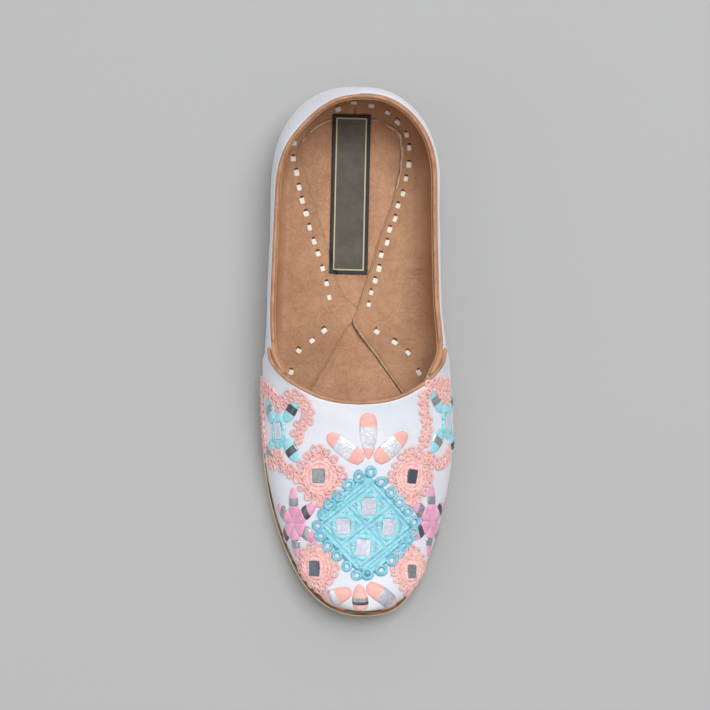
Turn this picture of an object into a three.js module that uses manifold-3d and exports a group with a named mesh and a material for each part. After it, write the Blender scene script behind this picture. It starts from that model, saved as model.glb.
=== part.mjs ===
// Mojari shoe: flat leather soles, a hollow upper with a lapped vamp, bindings, turned-in lining flaps.
// Millimetres, +Z up, toe towards -Y. The origin is at the middle of the outline, on the ground.

import * as THREE from 'three';
import { mergeVertices } from 'three/addons/utils/BufferGeometryUtils.js';
import Module from 'manifold-3d';

const wasm = await Module();
wasm.setup();

// Driving sizes of the last and the shoe
const shoeLength = 250;
const ballWidth = 89.8;
const instepHeight = 41;
const sideHeight = 33;
const backHeight = 51;
const toeSpring = 12;
const archRise = 1.4;
const toeSwing = 4;
const featherTuck = 1.8;
const bulgeRise = 14;
const counterLean = 8.6;
const counterDent = 3.4;
const counterTuck = 2;

// Driving sizes of the leather
const outsoleThickness = 3;
const midsoleThickness = 2.5;
const insoleThickness = 1.5;
const soleMargin = 3.6;
const outsoleBevel = 0.7;
const upperWall = 1.8;
const vampStep = 1;
const beadWidth = 1.8;
const beadStand = 0.8;
const flapThickness = 1.1;
const coveRadius = 6;
const labelWidth = 18.4;
const labelLength = 76.5;
const labelThickness = 0.6;
const clearance = 0.3;

// Where the round ends of the outline begin, as lengths from the toe and from the heel
const toeRounding = 98;
const heelRounding = 50;
const toeNose = 20;
const endPower = 2.4;

// Stations of the vamp and the quarter, as shares of the length from the toe
const throatAt = 0.381;
const earAt = 0.49;
const seamFootAt = 0.468;
const quarterFrontAt = 0.44;
const collarFrontAt = 0.502;
const earDrop = 2.5;

// Where the throat's binding steps out of the edge, as shares of the way from the crown to the ear
const beadStepFrom = 0.42;
const beadStepTo = 0.66;

// Width is a share of half the ball width before the ends are rounded. Crown is a share of the instep
// height: behind the throat it only steers the walls. Arch is the power of the section's curve. Tuck, margin
// and swing are shares of the feather's tuck, of the sole's margin and of the toe's swing off the middle.
const lastSections = [
  { along: 0.0, width: 0.94, crown: 0.28, arch: 2.2, tuck: 0.1, margin: 1.0, swing: 1.0 },
  { along: 0.08, width: 0.94, crown: 0.39, arch: 2.2, tuck: 0.2, margin: 0.78, swing: 0.69 },
  { along: 0.2, width: 0.972, crown: 0.61, arch: 2.25, tuck: 0.4, margin: 0.71, swing: 0.47 },
  { along: 0.3, width: 1.0, crown: 0.8, arch: 2.3, tuck: 0.55, margin: 0.6, swing: 0.41 },
  { along: 0.39, width: 1.0, crown: 1.0, arch: 2.35, tuck: 0.6, margin: 0.5, swing: 0.28 },
  { along: 0.45, width: 0.98, crown: 1.25, arch: 2.45, tuck: 0.7, margin: 0.45, swing: 0.12 },
  { along: 0.49, width: 0.965, crown: 1.55, arch: 2.6, tuck: 0.8, margin: 0.38, swing: 0.02 },
  { along: 0.58, width: 0.915, crown: 1.75, arch: 2.7, tuck: 0.95, margin: 0.28, swing: -0.25 },
  { along: 0.75, width: 0.896, crown: 1.65, arch: 2.8, tuck: 1.0, margin: 0.25, swing: -0.15 },
  { along: 1.0, width: 0.89, crown: 2.0, arch: 3.0, tuck: 1.0, margin: 0.3, swing: 0.0 },
];

// The throat's line: along is the share of the way from the crown to the ear, back is the share of the
// way from the throat's middle to the ear.
const throatLine = [
  { along: 0.0, back: 0.0 },
  { along: 0.12, back: 0.02 },
  { along: 0.29, back: 0.095 },
  { along: 0.57, back: 0.33 },
  { along: 0.79, back: 0.57 },
  { along: 0.9, back: 0.71 },
  { along: 0.96, back: 0.84 },
  { along: 1.0, back: 1.0 },
];

// Inner edges of the lining flaps. Along is the station on the wall, edgeAlong the edge's own station, and
// edgeAcross its place as a share of half the ball width, positive towards the flap's own side.
const leftFlapEdge = [
  { along: 0.33, edgeAlong: 0.335, edgeAcross: 0.75 },
  { along: 0.38, edgeAlong: 0.372, edgeAcross: 0.62 },
  { along: 0.43, edgeAlong: 0.423, edgeAcross: 0.458 },
  { along: 0.49, edgeAlong: 0.489, edgeAcross: 0.245 },
  { along: 0.535, edgeAlong: 0.538, edgeAcross: 0.09 },
  { along: 0.575, edgeAlong: 0.575, edgeAcross: -0.05 },
  { along: 0.61, edgeAlong: 0.605, edgeAcross: 0.12 },
  { along: 0.645, edgeAlong: 0.645, edgeAcross: 0.202 },
  { along: 0.695, edgeAlong: 0.695, edgeAcross: 0.287 },
  { along: 0.833, edgeAlong: 0.833, edgeAcross: 0.5 },
  { along: 0.875, edgeAlong: 0.875, edgeAcross: 0.575 },
  { along: 0.905, edgeAlong: 0.904, edgeAcross: 0.565 },
  { along: 0.94, edgeAlong: 0.927, edgeAcross: 0.52 },
  { along: 0.97, edgeAlong: 0.943, edgeAcross: 0.4 },
  { along: 0.99, edgeAlong: 0.951, edgeAcross: 0.28 },
  { along: 1, edgeAlong: 0.955, edgeAcross: 0.004 },
];
const rightFlapEdge = [
  { along: 0.33, edgeAlong: 0.335, edgeAcross: 0.76 },
  { along: 0.375, edgeAlong: 0.37, edgeAcross: 0.64 },
  { along: 0.41, edgeAlong: 0.41, edgeAcross: 0.511 },
  { along: 0.468, edgeAlong: 0.468, edgeAcross: 0.288 },
  { along: 0.5, edgeAlong: 0.493, edgeAcross: 0.19 },
  { along: 0.535, edgeAlong: 0.534, edgeAcross: 0.02 },
  { along: 0.552, edgeAlong: 0.552, edgeAcross: -0.03 },
  { along: 0.579, edgeAlong: 0.579, edgeAcross: 0.02 },
  { along: 0.648, edgeAlong: 0.648, edgeAcross: 0.149 },
  { along: 0.712, edgeAlong: 0.712, edgeAcross: 0.245 },
  { along: 0.796, edgeAlong: 0.796, edgeAcross: 0.405 },
  { along: 0.833, edgeAlong: 0.833, edgeAcross: 0.447 },
  { along: 0.867, edgeAlong: 0.867, edgeAcross: 0.48 },
  { along: 0.905, edgeAlong: 0.904, edgeAcross: 0.48 },
  { along: 0.935, edgeAlong: 0.9275, edgeAcross: 0.436 },
  { along: 0.965, edgeAlong: 0.942, edgeAcross: 0.33 },
  { along: 0.985, edgeAlong: 0.951, edgeAcross: 0.22 },
  { along: 1, edgeAlong: 0.955, edgeAcross: 0.004 },
];
const overlapFrom = 0.52;
const overlapTo = 0.66;
const overlapAcross = 0.24;

// Place and turn of the label on the footbed
const labelAlong = 0.8015;
const labelAcross = -0.053;
const labelTurn = -1.23;

// Where the counter slopes in on the left behind the heel, as turns round the outline from the heel's middle
const dentTurn = -0.42;
const dentSpread = 0.36;

// Numbers of faces
const soleStations = 40;
const quarterStations = 26;
const quarterRows = 8;
const vampRows = 16;
const vampCrownColumns = 12;
const vampSideColumns = 5;
const flapStations = 30;
const coveRows = 4;
const flapRows = 4;
const beadSides = 8;

const ballHalf = ballWidth / 2;
const halfTurn = Math.PI / 2;
const midsoleBase = outsoleThickness + clearance;
const insoleBase = midsoleBase + midsoleThickness + clearance;
const beadRadius = beadWidth / 2;

function readColumn(table, column, along) {
  // Reads one column at any station, on a curve that never overshoots its rows.
  const last = table.length - 1;
  const at = Math.min(Math.max(along, table[0].along), table[last].along);
  let row = 0;
  while (row < last - 1 && at > table[row + 1].along) row += 1;
  const span = (i) => table[i + 1].along - table[i].along;
  const slope = (i) => (table[i + 1][column] - table[i][column]) / span(i);
  const tangent = (i) => {
    if (i === 0) return slope(0);
    if (i === last) return slope(last - 1);
    const product = slope(i - 1) * slope(i);
    return product <= 0 ? 0 : (2 * product) / (slope(i - 1) + slope(i));
  };
  const width = span(row);
  const t = (at - table[row].along) / width;
  const rise = t * t * (3 - 2 * t);
  const value = table[row][column] * (1 - rise) + table[row + 1][column] * rise;
  const start = tangent(row) * width * t * (1 - t) * (1 - t);
  return value + start - tangent(row + 1) * width * t * t * (1 - t);
}

function easeBetween(from, to, value) {
  const t = Math.min(Math.max((value - from) / (to - from), 0), 1);
  return t * t * (3 - 2 * t);
}

function roundEnd(distance, reach) {
  // Share of the full width at a distance from a rounded end.
  const left = 1 - Math.min(Math.max(distance / reach, 0), 1);
  return Math.pow(Math.max(1 - Math.pow(left, endPower), 0), 1 / endPower);
}

// Ground, last and sections
const section = (column, along) => readColumn(lastSections, column, along);
const soleReach = (along) => soleMargin * section('margin', along) - featherTuck * section('tuck', along);
const lastLength = shoeLength - soleReach(0);
const lastToe = soleReach(0) - shoeLength / 2;
const stationY = (along) => lastToe + lastLength * along;
const stationOf = (y) => Math.min(Math.max((y - lastToe) / lastLength, 0), 1);

function groundLift(along) {
  // Toe spring and the arch at the waist: the sole is flat under the ball and the heel.
  const springFrom = 0.27;
  const spring = toeSpring * Math.pow(Math.max((springFrom - along) / springFrom, 0), 2.1);
  const arch = archRise * easeBetween(0.46, 0.55, along) * (1 - easeBetween(0.56, 0.65, along));
  return spring + arch;
}

function lastWidth(along) {
  const toe = roundEnd(along * lastLength, toeRounding);
  const heel = roundEnd((1 - along) * lastLength, heelRounding);
  return ballHalf * section('width', along) * toe * heel;
}

function crownHeight(along) {
  const nose = 0.45 + 0.55 * roundEnd(along * lastLength, toeNose);
  return instepHeight * section('crown', along) * nose;
}

function collarRise(along) {
  const back = Math.max((along - 0.7) / 0.3, 0);
  const ear = 0.05 * sideHeight * (1 - easeBetween(0.5, 0.58, along));
  return sideHeight + ear + (backHeight - sideHeight) * Math.pow(back, 1.7);
}

function outlineNormal(turn) {
  // Outward direction of the last's outline on the right side, in plan.
  if (turn <= 0) return { x: 0, y: -1 };
  if (turn >= Math.PI) return { x: 0, y: 1 };
  const step = 0.004;
  const before = (1 - Math.cos(Math.max(turn - step, 0))) / 2;
  const after = (1 - Math.cos(Math.min(turn + step, Math.PI))) / 2;
  const acrossChange = lastWidth(after) - lastWidth(before);
  const alongChange = lastLength * (after - before);
  const size = Math.hypot(acrossChange, alongChange);
  return { x: alongChange / size, y: -acrossChange / size };
}

const shareOfTurn = (turn) => (1 - Math.cos(turn)) / 2;
const turnOfShare = (along) => Math.acos(1 - 2 * along);

function outlinePoint(turn, side, offset, narrowing = 1) {
  const along = shareOfTurn(turn);
  const normal = outlineNormal(turn);
  const swing = toeSwing * section('swing', along);
  const across = lastWidth(along) + offset * normal.x;
  return { x: swing + side * across * narrowing, y: stationY(along) + offset * normal.y };
}

const nearHeel = (along) => easeBetween(0.78, 1, along);

function surfacePoint(turn, side, rise, narrowing, offset) {
  // A point of the upper's surface at a rise above its feather edge.
  const along = shareOfTurn(turn);
  const below = Math.max(1 - rise / bulgeRise, 0);
  const tuck = featherTuck * section('tuck', along) * below * below;
  const share = rise / collarRise(along);
  const bulge = 0.35;
  const above = Math.max((share - bulge) / (1 - bulge), 0);
  const fromDent = (side * (Math.PI - turn) - dentTurn) / dentSpread;
  const dent = counterDent * above * above * Math.exp(-fromDent * fromDent);
  const plan = outlinePoint(turn, side, offset - tuck - dent, narrowing);
  const under = Math.max((bulge - share) / bulge, 0);
  const lean = nearHeel(along) * (counterLean * above * above + counterTuck * under * under);
  const y = plan.y - lean;
  return new THREE.Vector3(plan.x, y, insoleBase + groundLift(along) + rise);
}

function pointByTurn(turn, side, girth, offset) {
  // Girth is 0 at the crown and 1 at the feather edge.
  const along = shareOfTurn(turn);
  const power = 2 / section('arch', along);
  const angle = halfTurn * (1 - girth);
  const rise = (crownHeight(along) + offset) * Math.pow(Math.sin(angle), power);
  return surfacePoint(turn, side, rise, Math.pow(Math.abs(Math.cos(angle)), power), offset);
}

function pointByRise(turn, side, rise, offset) {
  const along = shareOfTurn(turn);
  const power = section('arch', along);
  const share = Math.min(rise / (crownHeight(along) + offset), 1);
  const narrowing = Math.pow(1 - Math.pow(share, power), 1 / power);
  return surfacePoint(turn, side, rise, narrowing, offset);
}

// Closed bodies from grids
function closedBody(faces) {
  // Joins four-sided faces into one body and leaves out the triangles that have no area.
  const positions = [];
  for (const [a, b, c, d] of faces) {
    for (const corner of [a, b, c, a, c, d]) positions.push(corner.x, corner.y, corner.z);
  }
  const loose = new THREE.BufferGeometry();
  loose.setAttribute('position', new THREE.Float32BufferAttribute(positions, 3));
  const joined = mergeVertices(loose, 1e-4);
  const kept = [];
  const index = joined.index.array;
  for (let i = 0; i < index.length; i += 3) {
    const [a, b, c] = [index[i], index[i + 1], index[i + 2]];
    if (a !== b && b !== c && a !== c) kept.push(a, b, c);
  }
  joined.setIndex(kept);
  return joined;
}

function wallBody(columns, rows, outer, inner, ends) {
  // A wall between two grids of points, closed by a rim on each side that ends names.
  const faces = [];
  for (let i = 0; i < columns; i += 1) {
    for (let j = 0; j < rows; j += 1) {
      faces.push([outer(i, j), outer(i + 1, j), outer(i + 1, j + 1), outer(i, j + 1)]);
      faces.push([inner(i, j), inner(i, j + 1), inner(i + 1, j + 1), inner(i + 1, j)]);
    }
    if (ends.bottom) faces.push([inner(i, 0), inner(i + 1, 0), outer(i + 1, 0), outer(i, 0)]);
    if (ends.top) faces.push([outer(i, rows), outer(i + 1, rows), inner(i + 1, rows), inner(i, rows)]);
  }
  for (let j = 0; j < rows; j += 1) {
    if (ends.start) faces.push([inner(0, j), outer(0, j), outer(0, j + 1), inner(0, j + 1)]);
    if (ends.finish) {
      faces.push([outer(columns, j), inner(columns, j), inner(columns, j + 1), outer(columns, j + 1)]);
    }
  }
  return closedBody(faces);
}

function toSolid(geometry) {
  const mesh = new wasm.Mesh({
    numProp: 3,
    vertProperties: geometry.attributes.position.array,
    triVerts: new Uint32Array(geometry.index.array),
  });
  return new wasm.Manifold(mesh);
}

function toGeometry(solid) {
  const mesh = solid.getMesh();
  const geometry = new THREE.BufferGeometry();
  geometry.setAttribute('position', new THREE.BufferAttribute(mesh.vertProperties, 3));
  geometry.setIndex(new THREE.BufferAttribute(mesh.triVerts, 1));
  return geometry;
}

const shoe = new THREE.Group();

function addPart(name, geometry, color, roughness) {
  const material = new THREE.MeshStandardMaterial({ color, roughness, metalness: 0 });
  const mesh = new THREE.Mesh(geometry, material);
  mesh.name = name;
  shoe.add(mesh);
}

// Soles
function soleBody(base, thickness, offsetAt, bevel) {
  // A sheet of leather cut to the last's outline and lasted to the ground line. Its lower edge is bevelled.
  const layers = [
    { height: 0, inset: bevel },
    { height: bevel, inset: 0 },
    { height: thickness, inset: 0 },
  ].filter((layer, i) => bevel > 0 || i !== 1);
  const top = layers.length - 1;
  const point = (layer, station, side) => {
    const turn = (Math.PI * station) / soleStations;
    const along = shareOfTurn(turn);
    const plan = outlinePoint(turn, side, offsetAt(along) - layers[layer].inset);
    const y = plan.y - counterTuck * nearHeel(along);
    return new THREE.Vector3(plan.x, y, base + groundLift(along) + layers[layer].height);
  };
  const faces = [];
  for (let i = 0; i < soleStations; i += 1) {
    faces.push([point(top, i, -1), point(top, i, 1), point(top, i + 1, 1), point(top, i + 1, -1)]);
    faces.push([point(0, i, -1), point(0, i + 1, -1), point(0, i + 1, 1), point(0, i, 1)]);
    for (let layer = 0; layer < top; layer += 1) {
      for (const side of [1, -1]) {
        const near = side > 0 ? i : i + 1;
        const far = side > 0 ? i + 1 : i;
        faces.push([
          point(layer, near, side),
          point(layer, far, side),
          point(layer + 1, far, side),
          point(layer + 1, near, side),
        ]);
      }
    }
  }
  return closedBody(faces);
}

const insoleInset = upperWall + clearance;
addPart('outsole', soleBody(0, outsoleThickness, soleReach, outsoleBevel), 0xb7a184, 0.7);
addPart('midsole', soleBody(midsoleBase, midsoleThickness, soleReach, 0), 0x6b4630, 0.7);
const insoleOffset = (along) => -featherTuck * section('tuck', along) - insoleInset;
addPart('insole', soleBody(insoleBase, insoleThickness, insoleOffset, 0), 0xb98a67, 0.6);

// Upper: the quarter runs round the heel, and the vamp laps over its front ends
function quarterWall() {
  const front = turnOfShare(quarterFrontAt);
  const columns = 2 * quarterStations;
  const grid = (offset) => (i, j) => {
    const side = i <= quarterStations ? 1 : -1;
    const step = side > 0 ? i : columns - i;
    const turn = front + ((Math.PI - front) * step) / quarterStations;
    const rise = collarRise(shareOfTurn(turn)) * Math.pow(j / quarterRows, 1.3);
    return pointByRise(turn, side, rise, offset);
  };
  const ends = { bottom: true, top: true, start: true, finish: true };
  return wallBody(columns, quarterRows, grid(0), grid(-upperWall), ends);
}

const earRise = collarRise(earAt) - earDrop;
const earSection = section('arch', earAt);
const earAngle = Math.asin(Math.pow(earRise / crownHeight(earAt), earSection / 2));
const earGirth = 1 - earAngle / halfTurn;

function throatTurn(girth) {
  // The vamp's rear edge: a bowed throat up to the ear, then a side seam that slants to the feather.
  if (girth <= earGirth) {
    const back = readColumn(throatLine, 'back', girth / earGirth);
    return turnOfShare(throatAt + (earAt - throatAt) * back);
  }
  const down = (girth - earGirth) / (1 - earGirth);
  return turnOfShare(earAt + (seamFootAt - earAt) * down);
}

function vampWall() {
  const half = vampCrownColumns + vampSideColumns;
  const girthAt = (k) => {
    if (k <= vampCrownColumns) return earGirth * (1 - Math.pow(1 - k / vampCrownColumns, 1.5));
    return earGirth + ((1 - earGirth) * (k - vampCrownColumns)) / vampSideColumns;
  };
  const grid = (offset) => (i, j) => {
    const side = i < half ? -1 : 1;
    const girth = girthAt(Math.abs(i - half));
    const turn = throatTurn(girth) * (j / vampRows);
    return pointByTurn(turn, side, girth, offset);
  };
  const ends = { bottom: false, top: true, start: true, finish: true };
  return wallBody(2 * half, vampRows, grid(vampStep), grid(vampStep - upperWall), ends);
}

const upper = toSolid(quarterWall()).add(toSolid(vampWall()));
addPart('upper', toGeometry(upper), 0xe6e4f0, 0.5);

// Bindings: round leather cords of one width, sewn to the throat and to the topline
function bindingBody(path, steps) {
  const profile = new THREE.Shape();
  profile.absarc(0, 0, beadRadius, 0, 2 * Math.PI);
  const curve = new THREE.CatmullRomCurve3(path);
  const options = { steps, extrudePath: curve, bevelEnabled: false, curveSegments: beadSides / 2 };
  const geometry = new THREE.ExtrudeGeometry(profile, options);
  geometry.deleteAttribute('normal');
  geometry.deleteAttribute('uv');
  return mergeVertices(geometry, 1e-4);
}

function throatPath() {
  // Runs just behind the vamp's edge, and steps outwards where the edge passes over the topline.
  const count = 28;
  const step = 0.01;
  const edge = (place, offset) => {
    const girth = earGirth * Math.abs(place);
    return pointByTurn(throatTurn(girth), place < 0 ? -1 : 1, girth, offset);
  };
  const path = [];
  for (let i = -count; i <= count; i += 1) {
    const place = i / count;
    const near = Math.max(place - step, -1);
    const far = Math.min(place + step, 1);
    const stepped = easeBetween(beadStepFrom, beadStepTo, Math.abs(place));
    const height = (beadRadius + beadStand) * stepped + (vampStep - upperWall / 2) * (1 - stepped);
    const onEdge = edge(place, height);
    const run = edge(far, height).sub(edge(near, height));
    const out = edge(place, 1).sub(edge(place, 0));
    const away = new THREE.Vector3().crossVectors(out, run).normalize();
    path.push(onEdge.addScaledVector(away, beadRadius + clearance));
  }
  return path;
}

function collarPath() {
  const count = 26;
  const front = turnOfShare(collarFrontAt);
  const path = [];
  for (let i = -count; i <= count; i += 1) {
    const turn = Math.PI - ((Math.PI - front) * Math.abs(i)) / count;
    const point = pointByRise(turn, i < 0 ? -1 : 1, collarRise(shareOfTurn(turn)), -upperWall / 2);
    path.push(point.setZ(point.z + beadRadius + clearance));
  }
  return path;
}

addPart('throat_bead', bindingBody(throatPath(), 64), 0xc58a62, 0.5);
addPart('collar_bead', bindingBody(collarPath(), 84), 0xc58a62, 0.5);

// Label and lining flaps
const footbedTop = (y) => insoleBase + insoleThickness + groundLift(stationOf(y));

function labelBody(grow, below, above) {
  // A block of the label's outline. Below and above are its faces' heights over the footbed.
  const geometry = new THREE.BoxGeometry(labelWidth + 2 * grow, labelLength + 2 * grow, above - below);
  geometry.rotateZ((labelTurn * Math.PI) / 180);
  const y = stationY(labelAlong);
  geometry.translate(labelAcross * ballHalf, y, footbedTop(y) + (below + above) / 2);
  geometry.deleteAttribute('normal');
  geometry.deleteAttribute('uv');
  return mergeVertices(geometry, 1e-4);
}

function flapWall(side, edgeTable, lifted) {
  // The lining comes down the wall, turns in a cove and lies on the footbed as far as its inner edge.
  const first = turnOfShare(edgeTable[0].along);
  const rows = coveRows + flapRows;
  const wallOffset = -upperWall - clearance;
  const middleGap = clearance / 2;
  const grid = (above) => (i, j) => {
    const turn = first + ((Math.PI - first) * i) / flapStations;
    const along = shareOfTurn(turn);
    const angle = halfTurn * Math.min(j / coveRows, 1);
    const radius = coveRadius - above;
    const inward = coveRadius - radius * Math.cos(angle);
    const height = coveRadius - radius * Math.sin(angle);
    const rise = insoleThickness + clearance + height;
    const cove = pointByRise(turn, side, rise, wallOffset - inward);
    const share = Math.max(j - coveRows, 0) / flapRows;
    const edgeX = side * ballHalf * readColumn(edgeTable, 'edgeAcross', along);
    const edgeY = stationY(readColumn(edgeTable, 'edgeAlong', along));
    const x = cove.x * (1 - share) + edgeX * share;
    const y = cove.y * (1 - share) + edgeY * share;
    const over = 1 - easeBetween(0.3 * overlapAcross, overlapAcross, Math.abs(x) / ballHalf);
    const near = easeBetween(overlapFrom - 0.06, overlapFrom, stationOf(y));
    const past = 1 - easeBetween(overlapTo - 0.02, overlapTo + 0.04, stationOf(y));
    const lift = lifted * (flapThickness + clearance) * over * near * past;
    const limit = i === flapStations ? middleGap : 0;
    const clearX = side * Math.max(side * x, limit || -ballHalf);
    if (share === 0) return cove.setX(clearX);
    return new THREE.Vector3(clearX, y, footbedTop(y) + clearance + above + lift);
  };
  const ends = { bottom: true, top: true, start: true, finish: true };
  const under = grid(0);
  const face = grid(flapThickness);
  if (side > 0) return wallBody(flapStations, rows, face, under, ends);
  return wallBody(flapStations, rows, under, face, ends);
}

const labelRoom = toSolid(labelBody(clearance, 0, flapThickness + 3 * clearance));
const leftFlap = toSolid(flapWall(-1, leftFlapEdge, 0)).subtract(labelRoom);
const rightFlap = toSolid(flapWall(1, rightFlapEdge, 1)).subtract(labelRoom);
addPart('left_flap', toGeometry(leftFlap), 0xc99b82, 0.6);
addPart('right_flap', toGeometry(rightFlap), 0xc99b82, 0.6);
addPart('label_patch', labelBody(0, clearance, clearance + labelThickness), 0x3a372f, 0.7);

export default shoe;
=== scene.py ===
# Mojari shoe: white satin over leather, a lapped vamp, tan bindings, thread and mirror work.
# Sizes are millimetres in the shoe's own frame, with the toe towards -Y.
import math

import bmesh
import bpy
import numpy as np
from mathutils import Matrix, Vector
from mathutils.bvhtree import BVHTree


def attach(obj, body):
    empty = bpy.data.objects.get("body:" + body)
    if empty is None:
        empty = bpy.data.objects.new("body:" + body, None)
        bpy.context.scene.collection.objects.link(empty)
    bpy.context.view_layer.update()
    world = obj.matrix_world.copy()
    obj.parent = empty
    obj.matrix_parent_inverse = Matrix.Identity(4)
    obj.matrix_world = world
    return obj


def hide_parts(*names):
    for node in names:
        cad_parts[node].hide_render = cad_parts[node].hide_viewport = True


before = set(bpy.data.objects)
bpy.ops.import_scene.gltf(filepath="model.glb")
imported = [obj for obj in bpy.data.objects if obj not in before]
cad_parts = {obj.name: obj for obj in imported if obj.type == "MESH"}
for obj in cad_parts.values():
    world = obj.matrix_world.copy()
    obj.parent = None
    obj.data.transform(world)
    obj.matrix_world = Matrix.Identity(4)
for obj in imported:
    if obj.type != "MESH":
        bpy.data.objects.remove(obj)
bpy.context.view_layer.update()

# Camera, floor and light
# The shoe is seen from almost straight above, a little from its left and its toe, heel up. It stands on
# pale grey paper under one wide soft light from above, with a weak fill from its left.
MM = 0.001
VIEW_FROM_LEFT = math.radians(1.5)
VIEW_FROM_TOE = math.radians(5.6)
VIEW_DISTANCE = 1150.0
VIEW_WIDTH = 336.0
VIEW_MIDDLE = (-0.3, -2.0, 20.0)
IMAGE_SIZE = 710
SENSOR_WIDTH = 36.0
PAPER = (0.437, 0.439, 0.441)

view_out = np.array([-math.tan(VIEW_FROM_LEFT), -math.tan(VIEW_FROM_TOE), 1.0])
view_out /= np.linalg.norm(view_out)
view_up = np.array([0.0, 1.0, 0.0]) - view_out * view_out[1]
view_up /= np.linalg.norm(view_up)
view_right = np.cross(view_up, view_out)
view_place = np.array(VIEW_MIDDLE) + view_out * VIEW_DISTANCE

camera_data = bpy.data.cameras.new("view_camera")
camera_data.sensor_width = SENSOR_WIDTH
camera_data.lens = SENSOR_WIDTH * VIEW_DISTANCE / VIEW_WIDTH
camera_data.clip_end = 20
camera = bpy.data.objects.new("view_camera", camera_data)
turn = Matrix((view_right, view_up, view_out)).transposed().to_4x4()
camera.matrix_world = Matrix.Translation(Vector(view_place * MM)) @ turn
bpy.context.scene.collection.objects.link(camera)
bpy.context.scene.camera = camera


def new_material(name):
    """A material with nodes: itself, its tree and its shader."""
    material = bpy.data.materials.new(name)
    material.use_nodes = True
    return material, material.node_tree, material.node_tree.nodes["Principled BSDF"]


def set_inputs(shader, **values):
    """Sets plain numbers on a shader's own sockets, whose names are spelled with underscores."""
    for label, value in values.items():
        shader.inputs[label.replace("_", " ")].default_value = value


bpy.ops.mesh.primitive_plane_add(size=8)
paper = bpy.context.object
paper.name = "paper"
paper_material, _, paper_shader = new_material("grey_paper")
set_inputs(paper_shader, Base_Color=(*PAPER, 1), Roughness=0.9, Specular_IOR_Level=0.1)
paper.data.materials.append(paper_material)

LIGHTS = [
    dict(name="soft_box", place=(0.42, 0.43, 2.2), size=1.2, watts=36.2),
    dict(name="side_fill", place=(-1.1, -0.3, 1.2), size=1.4, watts=3.5),
]
for row in LIGHTS:
    light_data = bpy.data.lights.new(row["name"], "AREA")
    light_data.size = row["size"]
    light_data.energy = row["watts"]
    light = bpy.data.objects.new(row["name"], light_data)
    place = Vector(row["place"])
    aim = place.to_track_quat("Z", "Y").to_matrix().to_4x4()
    light.matrix_world = Matrix.Translation(place) @ aim
    bpy.context.scene.collection.objects.link(light)

world = bpy.data.worlds.new("studio")
world.use_nodes = True
set_inputs(world.node_tree.nodes["Background"], Color=(1.0, 1.0, 1.0, 1), Strength=0.5)
bpy.context.scene.world = world
bpy.context.scene.view_settings.view_transform = "Standard"

# The last
# The wooden form that the shoe is drawn over. It isn't a piece, but every piece below takes its place
# from its stations, its outline and its sections, as the pattern pieces of the real shoe do.
SHOE_LENGTH = 250.0
BALL_WIDTH = 89.8
INSTEP_HEIGHT = 41.0
SIDE_HEIGHT = 33.0
BACK_HEIGHT = 51.0
TOE_SPRING = 12.0
ARCH_RISE = 1.4
TOE_SWING = 4.0
FEATHER_TUCK = 1.8
BULGE_RISE = 14.0
COUNTER_LEAN = 8.6
COUNTER_DENT = 3.4
DENT_TURN = -0.42
DENT_SPREAD = 0.36
COUNTER_TUCK = 2.0
SOLE_MARGIN = 3.6
OUTSOLE = 3.0
MIDSOLE = 2.5
INSOLE = 1.5
WALL = 1.8
VAMP_STEP = 1.0
CLEAR = 0.3
TOE_ROUNDING = 98.0
HEEL_ROUNDING = 50.0
TOE_NOSE = 20.0
END_POWER = 2.4
THROAT_AT = 0.381
EAR_AT = 0.49
SEAM_FOOT_AT = 0.468
EAR_DROP = 2.5
LAST_SECTIONS = dict(
    along=(0.0, 0.08, 0.2, 0.3, 0.39, 0.45, 0.49, 0.58, 0.75, 1.0),
    width=(0.94, 0.94, 0.972, 1.0, 1.0, 0.98, 0.965, 0.915, 0.896, 0.89),
    crown=(0.28, 0.39, 0.61, 0.8, 1.0, 1.25, 1.55, 1.75, 1.65, 2.0),
    arch=(2.2, 2.2, 2.25, 2.3, 2.35, 2.45, 2.6, 2.7, 2.8, 3.0),
    tuck=(0.1, 0.2, 0.4, 0.55, 0.6, 0.7, 0.8, 0.95, 1.0, 1.0),
    margin=(1.0, 0.78, 0.71, 0.6, 0.5, 0.45, 0.38, 0.28, 0.25, 0.3),
    swing=(1.0, 0.69, 0.47, 0.41, 0.28, 0.12, 0.02, -0.25, -0.15, 0.0),
)
THROAT_LINE = dict(
    along=(0.0, 0.12, 0.29, 0.57, 0.79, 0.9, 0.96, 1.0),
    back=(0.0, 0.02, 0.095, 0.33, 0.57, 0.71, 0.84, 1.0),
)
BALL_HALF = BALL_WIDTH / 2
FEATHER_BASE = OUTSOLE + MIDSOLE + 2 * CLEAR


def read_column(table, column, along):
    """Reads a column of a table at any stations, on a curve that never overshoots its values."""
    stations = np.array(table["along"])
    values = np.array(table[column])
    span = np.diff(stations)
    slope = np.diff(values) / span
    product = slope[:-1] * slope[1:]
    total = np.where(product > 0, slope[:-1] + slope[1:], 1.0)
    middle = np.where(product > 0, 2 * product / total, 0.0)
    tangent = np.concatenate([slope[:1], middle, slope[-1:]])
    at = np.clip(along, stations[0], stations[-1])
    row = np.clip(np.searchsorted(stations, at, side="right") - 1, 0, len(stations) - 2)
    t = (at - stations[row]) / span[row]
    blend = t * t * (3 - 2 * t)
    value = values[row] * (1 - blend) + values[row + 1] * blend
    value = value + tangent[row] * span[row] * t * (1 - t) ** 2
    return value - tangent[row + 1] * span[row] * t * t * (1 - t)


def ease(start, end, value):
    t = np.clip((value - start) / (end - start), 0, 1)
    return t * t * (3 - 2 * t)


def section(column, along):
    return read_column(LAST_SECTIONS, column, along)


def round_end(distance, reach):
    left = 1 - np.clip(distance / reach, 0, 1)
    return np.maximum(1 - left**END_POWER, 0) ** (1 / END_POWER)


def sole_reach(along):
    return SOLE_MARGIN * section("margin", along) - FEATHER_TUCK * section("tuck", along)


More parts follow.
